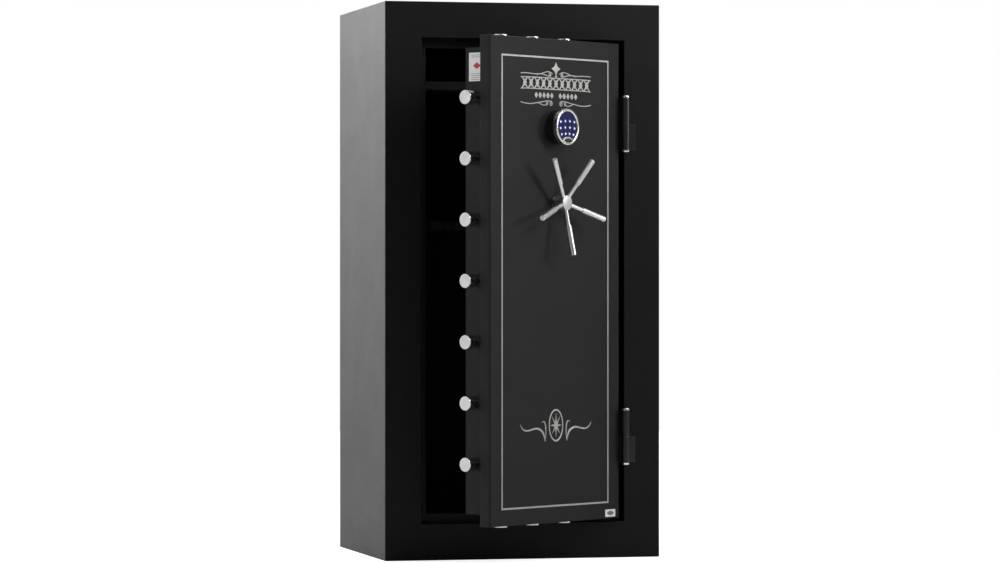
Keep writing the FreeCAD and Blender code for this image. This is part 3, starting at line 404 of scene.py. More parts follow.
# %% Mix the finishes
CARPET = dict(group=pile, mask="Shade", smooth=0.9, rough=1.0, bump=0.0006, Specular_IOR_Level=0.25)
PAINT = dict(group=grain, mask="Shade", bump=0.00018, dusty=0.1)
METAL = dict(group=brushed, mask="Smudge", Metallic=1.0)
COAT = dict(group=grain, mask="Shade")
PAPER = dict(group=pile, mask="Shade", scale={"Scale": 3000.0})
RECIPES = {
    # One black powder coat in two mixes: this darker one is painted shade, which keeps the front frame nearly
    # black.
    "cabinet_paint": dict(**PAINT, dark=(0.0009, 0.0009, 0.0010), light=(0.0025, 0.0025, 0.0025),
                          smooth=0.40, rough=0.55, Specular_IOR_Level=0.22),
    # The lighter mix of the same powder coat is painted light on the open door and the bolt box.
    "door_paint": dict(**PAINT, dark=(0.0095, 0.0095, 0.0096), light=(0.0225, 0.0225, 0.0222),
                       smooth=0.45, rough=0.6, Specular_IOR_Level=0.15),
    "chrome_plate": dict(**METAL, dark=(0.86, 0.86, 0.85), light=(0.76, 0.76, 0.75), smooth=0.16,
                         rough=0.3, bump=0.000004),
    "satin_chrome": dict(**METAL, dark=(0.74, 0.74, 0.73), light=(0.67, 0.67, 0.66), smooth=0.3,
                         rough=0.42, lathe=0.6, bump=0.000004),
    "black_steel": dict(**COAT, scale={"Scale": 1500.0}, bump=0.00004, dark=(0.006, 0.006, 0.006),
                        light=(0.013, 0.013, 0.013), smooth=0.28, rough=0.4),
    "bare_steel": dict(**METAL, bump=0.00002, dark=(0.42, 0.41, 0.40), light=(0.30, 0.29, 0.28),
                       smooth=0.32, rough=0.5),
    "zinc_steel": dict(**METAL, bump=0.00001, dark=(0.60, 0.61, 0.62), light=(0.44, 0.45, 0.47),
                       smooth=0.3, rough=0.48),
    "bushing_brass": dict(**METAL, bump=0.00001, dark=(0.72, 0.50, 0.22), light=(0.55, 0.38, 0.17),
                          smooth=0.25, rough=0.42),
    "black_plastic": dict(**COAT, scale={"Scale": 2600.0}, bump=0.000004, dark=(0.009, 0.009, 0.010),
                          light=(0.013, 0.013, 0.014), smooth=0.16, rough=0.24),
    "keypad_blue": dict(**COAT, scale={"Scale": 2600.0}, bump=0.000003, dark=(0.003, 0.004, 0.045),
                        light=(0.005, 0.006, 0.07), smooth=0.3, rough=0.4, Specular_IOR_Level=0.2,
                        Emission_Color=(0.05, 0.06, 0.5, 1), Emission_Strength=0.025),
    "seal_rubber": dict(**COAT, scale={"Scale": 1800.0}, bump=0.00003, dark=(0.007, 0.007, 0.007),
                        light=(0.014, 0.014, 0.014), smooth=0.6, rough=0.8),
    "fireboard": dict(group=pile, mask="Shade", scale={"Scale": 500.0}, bump=0.0002,
                      dark=(0.50, 0.47, 0.43), light=(0.62, 0.60, 0.56), smooth=0.85, rough=0.95),
    # The liners' felt is mixed darker than the shelves' felt, which is the same black felt: the difference is
    # painted shade inside the compartments.
    "carpet": dict(**CARPET, dark=(0.004, 0.004, 0.0045), light=(0.016, 0.016, 0.018)),
    "carpeted_board": dict(**CARPET, dark=(0.009, 0.009, 0.010), light=(0.034, 0.034, 0.037)),
    "silver_paint": dict(**COAT, scale={"Scale": 1600.0}, bump=0.00005, dark=(0.36, 0.36, 0.35),
                         light=(0.50, 0.50, 0.48), smooth=0.35, rough=0.5, Metallic=0.35),
    "badge_enamel": dict(**COAT, scale={"Scale": 900.0}, bump=0.00001, dark=(0.70, 0.70, 0.69),
                         light=(0.80, 0.80, 0.79), smooth=0.3, rough=0.42),
    "badge_grey": dict(group=brushed, mask="Smudge", bump=0.00001, dark=(0.12, 0.12, 0.12),
                       light=(0.2, 0.2, 0.2), smooth=0.35, rough=0.5),
    "card_stock": dict(**PAPER, bump=0.00001, dark=(0.86, 0.86, 0.84), light=(0.94, 0.94, 0.93),
                       smooth=0.6, rough=0.75),
    "red_ink": dict(**PAPER, bump=0.000005, dark=(0.5, 0.03, 0.03), light=(0.6, 0.06, 0.06), smooth=0.5,
                    rough=0.65),
    "grey_ink": dict(**PAPER, bump=0.000005, dark=(0.3, 0.3, 0.3), light=(0.42, 0.42, 0.42), smooth=0.5,
                     rough=0.65),
}
finishes = {name: make_finish(name, **recipe) for name, recipe in RECIPES.items()}
print(len(finishes), "finishes")

# %% Polish the bolts' shanks
# A bolt's end is turned satin, and its shank is polished to a mirror. Both are one finish, whose
# roughness follows the distance from the axis.
BOLT_RADIUS = 19 * MM
bolt_chrome = finishes["satin_chrome"].copy()
bolt_chrome.name = "bolt_chrome"
tree = bolt_chrome.node_tree
from_axis = add_node(tree, "ShaderNodeAttribute", attribute_name="turning").outputs["Fac"]
polish = ramp_value(tree, from_axis, BOLT_RADIUS * 0.93, BOLT_RADIUS * 0.99, 0.42, 0.13)
tree.links.new(polish, tree.nodes["Principled BSDF"].inputs["Roughness"])
finishes["bolt_chrome"] = bolt_chrome
print("finish", bolt_chrome.name)

# %% [markdown]
# ## Lit keys
# The keys are milky plastic with a cold lamp behind. The glow is strongest in the middle of the
# cap, which the turning attribute measures, and falls towards its rim.

# %% Mix the key finish
KEY_RADIUS = 0.0052
key_white = bpy.data.materials.new("key_white")
key_white.use_nodes = True
tree = key_white.node_tree
shader = tree.nodes["Principled BSDF"]
from_middle = add_node(tree, "ShaderNodeAttribute", attribute_name="turning").outputs["Fac"]
lit = ramp_value(tree, from_middle, KEY_RADIUS * 0.15, KEY_RADIUS * 0.72, 1, 0)
tree.links.new(mix_colours(tree, lit, (0.01, 0.013, 0.12), (0.8, 0.84, 0.95)), shader.inputs["Base Color"])
glow_colour = mix_colours(tree, lit, (0.005, 0.007, 0.06), (0.80, 0.84, 1.0))
tree.links.new(glow_colour, shader.inputs["Emission Color"])
shader.inputs["Emission Strength"].default_value = 0.9
tree.links.new(ramp_value(tree, noise(tree, 900.0), 0, 1, 0.25, 0.4), shader.inputs["Roughness"])
finishes["key_white"] = key_white
print("finishes:", len(finishes))

# %% [markdown]
# ## Tools for making pieces
# Every piece ends the same way: it is moved to its place, its faces are turned outwards, its flat
# and rounded faces are told apart by their angle, and it is hung on the body that carries it.

# %% Finish a piece
SHARP_ANGLE = math.radians(38)
MERGE_DISTANCE = 0.00001


def finish_piece(bm, name, finish, body, place=in_cabinet, stands_for=()):
    """Turns a bmesh into a finished piece that rides on a body of the frame."""
    bm.transform(place)
    bmesh.ops.recalc_face_normals(bm, faces=bm.faces)
    mesh = bpy.data.meshes.new(name)
    bm.to_mesh(mesh)
    bm.free()
    mesh.shade_smooth()
    mesh.set_sharp_from_angle(angle=SHARP_ANGLE)
    mesh.materials.append(finishes[finish])
    piece = bpy.data.objects.new(name, mesh)
    scene.collection.objects.link(piece)
    shading = piece.modifiers.new("even_shading", "WEIGHTED_NORMAL")
    shading.keep_sharp = True
    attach(piece, body)
    if stands_for:
        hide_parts(*stands_for)
    print(f"{name}: {len(mesh.polygons)} faces on {body}")
    return piece


def gather(parts):
    """Joins several bmeshes, each moved by its own matrix, into one."""
    whole = bmesh.new()
    for part, place in parts:
        part.transform(place)
        scratch = bpy.data.meshes.new("scratch")
        part.to_mesh(scratch)
        part.free()
        whole.from_mesh(scratch)
        bpy.data.meshes.remove(scratch)
    return whole


# %% Bevel, turn and copy
def points_in(items):
    """The vertices among what an operator returned."""
    return [item for item in items if isinstance(item, bmesh.types.BMVert)]


def soften(bm, width, segments=2, from_angle=35):
    """Rounds every edge that is sharper than an angle in degrees."""
    least = math.radians(from_angle)
    sharp = [edge for edge in bm.edges if edge.is_manifold and edge.calc_face_angle(0) > least]
    bmesh.ops.bevel(bm, geom=sharp, offset=width, affect="EDGES", segments=segments, profile=0.5,
                    material=-1, clamp_overlap=True)
    return bm


def box_between(low, high):
    """A closed box between two corners."""
    low, high = Vector(low), Vector(high)
    bm = bmesh.new()
    place = Matrix.Translation((low + high) / 2) @ Matrix.Diagonal((*(high - low), 1))
    bmesh.ops.create_cube(bm, size=1, matrix=place)
    return bm


def turned(profile, steps=48, closed=False):
    """Spins (radius, height) pairs about the Z axis, and stores each point's distance from it."""
    bm = bmesh.new()
    points = [bm.verts.new((radius, 0, height)) for radius, height in profile]
    edges = [bm.edges.new(pair) for pair in zip(points, points[1:] + points[:1] if closed else points[1:])]
    bmesh.ops.spin(bm, geom=points + edges, cent=(0, 0, 0), axis=(0, 0, 1), angle=math.tau, steps=steps,
                   use_merge=True)
    bmesh.ops.remove_doubles(bm, verts=bm.verts, dist=MERGE_DISTANCE)
    distance = bm.verts.layers.float.new("turning")
    for vertex in bm.verts:
        vertex[distance] = math.hypot(vertex.co.x, vertex.co.y)
    return bm


def towards(start, direction):
    """The place whose Z axis leaves a point in a direction."""
    return Matrix.Translation(start) @ Vector(direction).to_track_quat("Z", "Y").to_matrix().to_4x4()


def merged_copy(node):
    """A copy of a CAD node whose loose triangles are merged into whole faces."""
    bm = bmesh.new()
    bm.from_mesh(nodes[node].data)
    bmesh.ops.remove_doubles(bm, verts=bm.verts, dist=MERGE_DISTANCE)
    bmesh.ops.dissolve_limit(bm, angle_limit=math.radians(0.5), verts=bm.verts, edges=bm.edges)
    return bm


def softened_copy(node, width, name, finish, body, segments=2):
    """A copy of a CAD node with rounded edges, which stands for it."""
    bm = merged_copy(node)
    soften(bm, width, segments)
    return finish_piece(bm, name, finish, body, stands_for=(node,))


print("shape helpers ready")

# %% [markdown]
# ## Cabinet body
# The real body is folded and welded from sheet: four walls, a back, and a front that turns inward
# at the doorway, runs back as a jamb, and turns again to make the lip that the door closes on. It
# could be six boxes, but their seams would show. Here it is one continuous sheet: the front face of
# a box is inset to the doorway's outline and opened, and that outline is extruded inward twice.
# The folds are bevelled, and the sheet then gets its thickness in one go.

# %% Fold the cabinet
shell_low, shell_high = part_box("cabinet_shell")
frame_low, frame_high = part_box("front_frame")
OPENING_HALF_WIDTH = 281 * MM
OPENING_BOTTOM, OPENING_TOP = 98 * MM, 1401 * MM
RECESS = 40 * MM
LIP_SIDE, LIP_END = 20 * MM, 25 * MM
SHEET = 3 * MM
FOLD_RADIUS = 2.2 * MM
front_y = frame_low.y
bm = box_between((shell_low.x, front_y, shell_low.z), shell_high)
bm.normal_update()
front = [face for face in bm.faces if face.normal.y < -0.9]
bmesh.ops.inset_region(bm, faces=front, thickness=OPENING_BOTTOM, use_even_offset=True)
opening_middle = Vector((0, front_y, (OPENING_TOP + OPENING_BOTTOM) / 2))
inset_width = shell_high.x - OPENING_BOTTOM
bmesh.ops.scale(bm, vec=(OPENING_HALF_WIDTH / inset_width, 1, 1), space=Matrix.Translation(-opening_middle),
                verts=front[0].verts)
doorway_edges = list(front[0].edges)
bmesh.ops.delete(bm, geom=front, context="FACES_ONLY")
print("cabinet sheet:", len(bm.faces), "faces round the doorway")

# %% Turn the jamb and the lip, and round the folds
jamb = bmesh.ops.extrude_edge_only(bm, edges=doorway_edges)["geom"]
jamb_edges = [item for item in jamb if isinstance(item, bmesh.types.BMEdge) and item.is_boundary]
bmesh.ops.translate(bm, vec=(0, RECESS, 0), verts=points_in(jamb))
lip = bmesh.ops.extrude_edge_only(bm, edges=jamb_edges)["geom"]
lip_scale = (1 - LIP_SIDE / OPENING_HALF_WIDTH, 1, 1 - 2 * LIP_END / (OPENING_TOP - OPENING_BOTTOM))
bmesh.ops.scale(bm, vec=lip_scale, space=Matrix.Translation(-opening_middle), verts=points_in(lip))
bmesh.ops.recalc_face_normals(bm, faces=bm.faces)
soften(bm, FOLD_RADIUS, segments=3, from_angle=30)
cabinet_mesh = bpy.data.meshes.new("cabinet_body")
bm.to_mesh(cabinet_mesh)
bm.free()
print("cabinet sheet:", len(cabinet_mesh.polygons), "faces")

# %% [markdown]
# The floor of the cabinet has four anchor holes, for bolts into the ground. A drill is a closed
# solid, and the Boolean modifier takes it away from the sheet, so the holes have true walls.

# %% Thicken the sheet and drill the anchor holes
ANCHOR_X, ANCHOR_Y, ANCHOR_RADIUS = 250 * MM, 180 * MM, 7 * MM
bm = bmesh.new()
bm.from_mesh(cabinet_mesh)
bmesh.ops.solidify(bm, geom=bm.faces[:], thickness=SHEET)
DRILL_REACH = 20 * MM
drill_profile = [(0, -DRILL_REACH), (ANCHOR_RADIUS, -DRILL_REACH), (ANCHOR_RADIUS, DRILL_REACH),
                 (0, DRILL_REACH)]
drill_places = [(side * ANCHOR_X, end * ANCHOR_Y, 0) for side in (-1, 1) for end in (-1, 1)]


def drilled(bm, drills):
    """Takes closed drills away from a closed bmesh, and returns what is left."""
    blanks = []
    for solid in (bm, drills):
        bmesh.ops.recalc_face_normals(solid, faces=solid.faces)
        mesh = bpy.data.meshes.new("blank")
        solid.to_mesh(mesh)
        solid.free()
        blanks.append(bpy.data.objects.new("blank", mesh))
        scene.collection.objects.link(blanks[-1])
    cut = blanks[0].modifiers.new("drill", "BOOLEAN")
    cut.operation, cut.solver, cut.object = "DIFFERENCE", "EXACT", blanks[1]
    result = bmesh.new()
    result.from_object(blanks[0], bpy.context.evaluated_depsgraph_get())
    for blank in blanks:
        bpy.data.objects.remove(blank)
    return result


bm = drilled(bm, gather([(turned(drill_profile, 32), Matrix.Translation(place)) for place in drill_places]))
finish_piece(bm, "cabinet_body", "cabinet_paint", "cabinet", stands_for=("cabinet_shell", "front_frame"))

# %% [markdown]
# ## Hinges
# Each hinge is a barrel in two halves on one pin. The lower half is welded to the frame and the
# upper half to the door's edge. The pin's two chrome caps are the only bright parts. Caps and pin
# are turned on a lathe, so they are one spun profile. The halves are copies of the CAD solids with
# their edges eased.

# %% Make the hinges
PIN_RADIUS, CAP_RADIUS, CAP_HEIGHT = 6 * MM, 10.5 * MM, 7.5 * MM
HINGE_EASE = 0.7 * MM
hinge_axis = Vector(joints["door_hinge"]["pos_m"])
for place in ("upper", "lower"):
    pin_low, pin_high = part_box(f"hinge_pin_{place}")
    half = (pin_high.z - pin_low.z) / 2
    middle = Vector((hinge_axis.x, hinge_axis.y, (pin_high.z + pin_low.z) / 2))
    end = [(0, half), (CAP_RADIUS * 0.45, half - 0.1 * MM), (CAP_RADIUS * 0.76, half - 0.8 * MM),
           (CAP_RADIUS * 0.94, half - 2.1 * MM), (CAP_RADIUS, half - 3.8 * MM),
           (CAP_RADIUS, half - CAP_HEIGHT + 0.6 * MM), (CAP_RADIUS - 0.5 * MM, half - CAP_HEIGHT),
           (PIN_RADIUS, half - CAP_HEIGHT)]
    profile = end + [(radius, -height) for radius, height in reversed(end)]
    finish_piece(turned(profile, 40), f"hinge_pin_and_caps_{place}", "chrome_plate", "cabinet",
                 Matrix.Translation(middle), (f"hinge_pin_{place}",))
    for node, name, body in (("hinge_cabinet_knuckle", "hinge_frame_half", "cabinet"),
                             ("hinge_door_leaf", "hinge_door_half", "door")):
        softened_copy(f"{node}_{place}", HINGE_EASE, f"{name}_{place}", "black_steel", body)

# %% [markdown]
# ## Fittings inside
# The compartments are lined with fibreboard and short felt. The shelves are boards wrapped in the
# same felt, so their edges are soft, with a radius of a few millimetres. They are copies of the CAD
# boards with a generous bevel.

# %% Wrap the shelves and the barrel rail
WRAP_RADIUS = 4 * MM
for node in ("shelf_upper", "shelf_lower", "barrel_rail"):
    softened_copy(node, WRAP_RADIUS, f"{node}_wrapped", "carpeted_board", "cabinet",
                  segments=3)
# The liners take the darker felt mix, which is painted shade inside the compartments.
for side in ("floor", "top", "back", "left", "right"):
    softened_copy(f"liner_{side}", 1.2 * MM, f"felt_{side}", "carpet", "cabinet")

# %% [markdown]
# ## Door
# The door's face is a pan of thick sheet with tight folded edges, and the bolt box is welded to its
# back. Both keep the holes of the CAD model. The outline of the face has the larger fold, and the
# other edges get a small radius.

# %% Ease the door's steel
FACE_FOLD = 4.5 * MM
ROUNDING = 1.0 * MM
skin_low, skin_high = extent("door_skin")


def on_face_outline(edge):
    """True for an edge that runs round the front face of the door."""
    ends = [vertex.co for vertex in edge.verts]
    if any(abs(end.y - skin_low.y) > MERGE_DISTANCE for end in ends):
        return False
    limits = ((0, skin_low.x), (0, skin_high.x), (2, skin_low.z), (2, skin_high.z))
    return any(all(abs(end[axis] - limit) < MERGE_DISTANCE for end in ends) for axis, limit in limits)


bm = merged_copy("door_skin")
bm.transform(on_door.inverted())
outline = [edge for edge in bm.edges if on_face_outline(edge)]
bmesh.ops.bevel(bm, geom=outline, offset=FACE_FOLD, affect="EDGES", segments=4, profile=0.5, material=-1)
soften(bm, ROUNDING)
print("door face:", len(outline), "edges folded")
finish_piece(bm, "door_face_pan", "door_paint", "door", on_door, ("door_skin",))
softened_copy("bolt_box", 1.0 * MM, "bolt_box_folded", "door_paint", "door")
softened_copy("door_seal", 1.2 * MM, "door_seal_strip", "seal_rubber", "door")
softened_copy("door_back_panel", 0.9 * MM, "door_back_panel_wrapped", "carpeted_board", "door")

# %% [markdown]
# ## Pinstripe
# A thin silver line runs round the door about 55 mm in from its edges. The paint stands a little
# proud of the powder coat. Two rectangles are bridged into a flat ring, the ring is extruded
# forward, and its edges are rounded.

# %% Paint the pinstripe
STRIPE_WIDTH, STRIPE_HEIGHT = 4.6 * MM, 0.5 * MM
STRIPE_LEFT, STRIPE_RIGHT = -229 * MM, 227 * MM
STRIPE_BOTTOM, STRIPE_TOP = 150 * MM, 1344 * MM
SUNK = 0.3 * MM


def frame_ring(left, right, bottom, top, width, back, front):
    """A flat rectangular frame that stands in the plane of the door."""
    bm = bmesh.new()
    loops = []
    for inset in (0, width):
        size = (right - left - 2 * inset, top - bottom - 2 * inset, 1, 1)
        middle = Matrix.Translation(((left + right) / 2, back, (bottom + top) / 2))
        place = middle @ UPRIGHT @ Matrix.Diagonal(size)
        corners = bmesh.ops.create_grid(bm, x_segments=1, y_segments=1, size=0.5, matrix=place)["verts"]
        loops += {edge for vertex in corners for edge in vertex.link_edges}
    bmesh.ops.delete(bm, geom=bm.faces[:], context="FACES_ONLY")
    bmesh.ops.bridge_loops(bm, edges=loops)
    raised = bmesh.ops.extrude_face_region(bm, geom=bm.faces[:])["geom"]
    bmesh.ops.translate(bm, vec=(0, front - back, 0), verts=points_in(raised))
    bmesh.ops.recalc_face_normals(bm, faces=bm.faces)
    return bm


stripe = frame_ring(STRIPE_LEFT, STRIPE_RIGHT, STRIPE_BOTTOM, STRIPE_TOP, STRIPE_WIDTH, SUNK, -STRIPE_HEIGHT)
soften(stripe, 0.18 * MM)
finish_piece(stripe, "pinstripe", "silver_paint", "door", on_door)

# %% [markdown]
# ## Ornaments
# Above the keypad and low on the door sit two silver ornaments of thin scrolls. These are generic
# designs with no letters: a star-shaped finial, a lattice band and scrolls above, and a rosette in
# an oval ring between two flourishes below.
#
# A scroll is a curve whose thickness changes along its length. A NURBS curve with a round bevel
# and a radius at each point gives that. It is turned into a mesh, pressed flat, and set on the door.

# %% Helpers for scrolls and stamped shapes
SCROLL_PRESS = 0.35
STAR_RIM = 0.3


def scroll(points, thickness, radii=None, cyclic=False):
    """A pressed ribbon along (x, z) points in millimetres. radii taper it from point to point."""
    curve = bpy.data.curves.new("scroll", "CURVE")
    curve.dimensions = "3D"
    curve.bevel_depth = thickness * MM / 2
    curve.bevel_resolution = 2
    curve.use_fill_caps = True
    spline = curve.splines.new("NURBS")
    spline.points.add(len(points) - 1)
    for index, (x, z) in enumerate(points):
        spline.points[index].co = (x * MM, 0, z * MM, 1)
        spline.points[index].radius = radii[index] if radii else 1
    spline.order_u = 4
    spline.use_endpoint_u = not cyclic
    spline.use_cyclic_u = cyclic
    spline.resolution_u = 5
    ribbon = bpy.data.objects.new("scroll", curve)
    mesh = bpy.data.meshes.new_from_object(ribbon)
    bm = bmesh.new()
    bm.from_mesh(mesh)
    bpy.data.objects.remove(ribbon)
    bpy.data.meshes.remove(mesh)
    bmesh.ops.remove_doubles(bm, verts=bm.verts, dist=MERGE_DISTANCE)
    bmesh.ops.scale(bm, vec=(1, SCROLL_PRESS, 1), verts=bm.verts)
    return bm


def spiral(x, z, radius, start, turns, shrink=0.25, steps=10):
    """Points on a spiral that winds in round a centre, in millimetres. Angles are in degrees."""
    count = max(4, int(abs(turns) * steps))
    points = []
    for step in range(count + 1):
        reach = radius * (1 - (1 - shrink) * step / count)
        angle = math.radians(start) + math.tau * turns * step / count
        points.append((x + reach * math.cos(angle), z + reach * math.sin(angle)))
    return points


def star(points, outer, inner, height, stretch=1.0):
    """A raised star or lozenge, with its ridge in the middle."""
    bm = bmesh.new()
    rim = bmesh.ops.create_circle(bm, cap_ends=True, segments=2 * points, radius=outer * MM)["verts"]
    for index, vertex in enumerate(sorted(rim, key=lambda corner: math.atan2(corner.co.y, corner.co.x))):
        if index % 2 == 0:
            vertex.co *= inner / outer
    rise = bmesh.ops.extrude_face_region(bm, geom=bm.faces[:])["geom"]
    bmesh.ops.translate(bm, vec=(0, 0, STAR_RIM * MM), verts=points_in(rise))
    top = [item for item in rise if isinstance(item, bmesh.types.BMFace)]
    bmesh.ops.poke(bm, faces=top, offset=height * MM)
    bmesh.ops.rotate(bm, cent=(0, 0, 0), matrix=Matrix.Rotation(math.radians(90), 3, "X"), verts=bm.verts)
    bmesh.ops.scale(bm, vec=(1, 1, stretch), verts=bm.verts)
    return bm


def at(x, z, depth=0.0, turn=0.0):
    """A place on the door's face, in millimetres, turned in its plane by degrees."""
    return Matrix.Translation((x * MM, depth * MM, z * MM)) @ Matrix.Rotation(math.radians(turn), 4, "Y")


MIRROR = Matrix.Diagonal((-1, 1, 1, 1))
print("scroll helpers ready")

# %% Set the upper ornament
UPPER_MIDDLE = 1266
BAND_TOP, BAND_BOTTOM = 22, -8
upper = at(0, UPPER_MIDDLE)
parts = [
    (star(4, 19, 9.5, 1.1, 0.95), at(0, UPPER_MIDDLE + 47)),
    (star(4, 6, 2.5, 0.6), at(0, UPPER_MIDDLE + 27)),
]
for side in (Matrix.Identity(4), MIRROR):
    parts += [
        (scroll(spiral(26, 31, 6, 250, -1.4)[::-1] + [(40, 28), (62, 33), (92, 29), (122, 33), (149, 31)],
                2.6), side @ upper),
        (scroll([(12, 32), (22, 38), (38, 40), (58, 33), (84, 28)], 2.4, [0.4, 1, 1.3, 1, 0.3]), side @ upper),
        (scroll(spiral(22, -46, 7.5, 60, 1.5)[::-1] + [(42, -39), (60, -43), (88, -46), (118, -51), (150, -45)],
                2.6), side @ upper),
        (scroll(spiral(38, -47, 5.5, 160, -1.3)[::-1] + [(50, -54), (64, -48), (80, -44)], 2.2), side @ upper),
    ]
for rail in (BAND_TOP, BAND_BOTTOM):
    line = [(-149, rail - 2), (-146, rail), (-60, rail), (60, rail), (146, rail), (149, rail - 2)]
    parts.append((scroll(line, 2.6), upper))
print("upper ornament:", len(parts), "scrolls and stars")

# %% Fill its bands
LATTICE_CELLS = 11
CELL = 290 / LATTICE_CELLS
for index in range(LATTICE_CELLS):
    x = (index - (LATTICE_CELLS - 1) / 2) * CELL
    for lean in (-1, 1):
        parts.append((scroll([(x - lean * CELL / 2, BAND_BOTTOM), (x - lean * CELL / 5, BAND_BOTTOM + 4),
                              (x + lean * CELL / 5, BAND_TOP - 4), (x + lean * CELL / 2, BAND_TOP)],
                             4.4, [0.7, 1.2, 1.2, 0.7]), upper))
    parts.append((star(4, 8.5, 4.5, 0.6, 1.3), upper @ at(x, (BAND_TOP + BAND_BOTTOM) / 2, -0.3)))
BEADS = 5
for index in range(BEADS):
    for side in (-1, 1):
        bead = star(8 if index % 2 else 4, 7.0, 5.2, 0.7, 1.15)
        parts.append((bead, upper @ at(side * (18 + 16.5 * index), -25)))
finish_piece(gather(parts), "upper_ornament", "silver_paint", "door", on_door)

# %% Set the lower ornament
LOWER_MIDDLE = 366
oval = [(30 * math.cos(turn), 43 * math.sin(turn)) for turn in [math.tau * step / 12 for step in range(12)]]
parts = [
    (scroll(oval, 4.6, cyclic=True), at(0, LOWER_MIDDLE)),
    (star(8, 25, 7, 1.3, 1.35), at(0, LOWER_MIDDLE)),
    (star(4, 12, 4, 1.2, 1.3), at(0, LOWER_MIDDLE, -0.8)),
]
for side in (Matrix.Identity(4), MIRROR):
    lift = at(0, LOWER_MIDDLE)
    parts += [
        (scroll([(46, -42), (49, -26), (58, -12), (84, -4), (112, -12), (138, -12), (148, 0), (150, 6)], 5.0,
                [0.35, 1.3, 1.4, 1, 0.8, 0.7, 0.5, 0.25]), side @ lift),
        (scroll([(46, -42), (42, -14), (44, 6), (52, 14), (60, 8)], 3.8, [0.4, 1.2, 1.3, 0.8, 0.3]),
         side @ lift),
    ]
finish_piece(gather(parts), "lower_ornament", "silver_paint", "door", on_door)

# %% [markdown]
# ## Badge and rating card
# A small riveted badge sits low beside the hinges, and a printed card is stuck near the top of the
# bolt box's side. Both carry only plain shapes: an oval on the badge, and rules and a lozenge on the
# card.

# %% Make the badge
def plate(width, height, thickness, corner, edge):
    """A thin plate in the plane of the door with rounded corners. It stands forward of its place."""
    bm = box_between((-width / 2, -thickness, -height / 2), (width / 2, 0, height / 2))
    bm.edges.ensure_lookup_table()
    uprights = [side for side in bm.edges if abs((side.verts[0].co - side.verts[1].co).y) > thickness / 2]
    bmesh.ops.bevel(bm, geom=uprights, offset=corner, affect="EDGES", segments=5, profile=0.5, material=-1)
    return soften(bm, edge, from_angle=60)


BADGE_X, BADGE_Z = 235, 122.5
finish_piece(plate(44 * MM, 20 * MM, 0.8 * MM, 1.8 * MM, 0.25 * MM), "badge", "badge_enamel", "door",
             on_door @ at(BADGE_X, BADGE_Z, 0.1))
OVAL_RADIUS, OVAL_SQUASH = 13.6 * MM, 0.42
oval_plate = turned([(0, 0.4 * MM), (13 * MM, 0.4 * MM), (OVAL_RADIUS, 0.2 * MM), (OVAL_RADIUS, -0.5 * MM),
                     (0, -0.5 * MM)])
oval_place = at(BADGE_X, BADGE_Z, -0.75) @ Matrix.Diagonal((1, 1, OVAL_SQUASH, 1)) @ UPRIGHT
finish_piece(oval_plate, "badge_oval", "badge_grey", "door", on_door @ oval_place)

# %% Stick on the rating card
box_low, box_high = extent("bolt_box")
CARD_WIDTH, CARD_HEIGHT = 54 * MM, 75 * MM
CARD_DEPTH, CARD_Z = 71.5 * MM, 1311 * MM
card_middle = Vector((box_low.x, CARD_DEPTH, CARD_Z))
card_place = on_door @ Matrix.Translation(card_middle) @ Matrix.Rotation(math.radians(-90), 4, "Z")
card = plate(CARD_WIDTH, CARD_HEIGHT, 0.4 * MM, 1.5 * MM, 0.12 * MM)
finish_piece(card, "rating_card", "card_stock", "door", card_place)
RULE_ROWS = ((38, 0, 31), (30, -4, 26), (34, -2, -18), (38, 0, -23), (26, -6, -28), (38, 0, -33))
rules = [(plate(width * MM, 1.6 * MM, 0.15 * MM, 0.3 * MM, 0.04 * MM), at(shift, z, -0.38))
         for width, shift, z in RULE_ROWS]
finish_piece(gather(rules), "rating_card_rules", "grey_ink", "door", card_place)
lozenge = star(2, 13, 9, 0.05, 1.0)
finish_piece(lozenge, "rating_card_lozenge", "red_ink", "door", card_place @ at(0, 3, -0.35))

# %% [markdown]
# ## Locking bolts
# The bolts are thick turned bars with a chamfered rim and a face that the lathe leaves slightly
# dished. One profile is spun once, and its copies are set where the CAD bolts lie: seven on the
# free side, three at the top and three at the bottom.

# %% Turn the bolts
SIDE_BOLT_COUNT, SIDE_BOLT_PITCH = 7, 160 * MM
END_BOLT_PLACES = (-152 * MM, -19 * MM, 116 * MM)
BOLT_DEPTH = 66 * MM


def bolt(length):
    """One bolt, with its tip at the origin and its shank along +Z."""
    return turned([(0, 0.7 * MM), (13.2 * MM, 0.7 * MM), (14.2 * MM, 0.1 * MM), (14.8 * MM, 0), (16.8 * MM, 0),
                   (18.2 * MM, 0.5 * MM), (BOLT_RADIUS, 2.0 * MM), (BOLT_RADIUS, length - 1 * MM),
                   (BOLT_RADIUS - 1 * MM, length), (0, length)], 56)


side_low, side_high = extent("side_bolts")
middle_z = (side_low.z + side_high.z) / 2
steps = [step - (SIDE_BOLT_COUNT - 1) / 2 for step in range(SIDE_BOLT_COUNT)]
side_tips = [(side_low.x, BOLT_DEPTH, middle_z + step * SIDE_BOLT_PITCH) for step in steps]
side_set = gather([(bolt(side_high.x - side_low.x), towards(tip, (1, 0, 0))) for tip in side_tips])
finish_piece(side_set, "side_bolts_turned", "bolt_chrome", "side_boltwork", on_door, ("side_bolts",))
for end, sense in (("top", -1), ("bottom", 1)):
    low, high = extent(f"{end}_bolts")
    tip = high.z if end == "top" else low.z
    end_set = gather([(bolt(high.z - low.z), towards((x, BOLT_DEPTH, tip), (0, 0, sense)))
                      for x in END_BOLT_PLACES])
    finish_piece(end_set, f"{end}_bolts_turned", "bolt_chrome", f"{end}_boltwork", on_door, (f"{end}_bolts",))
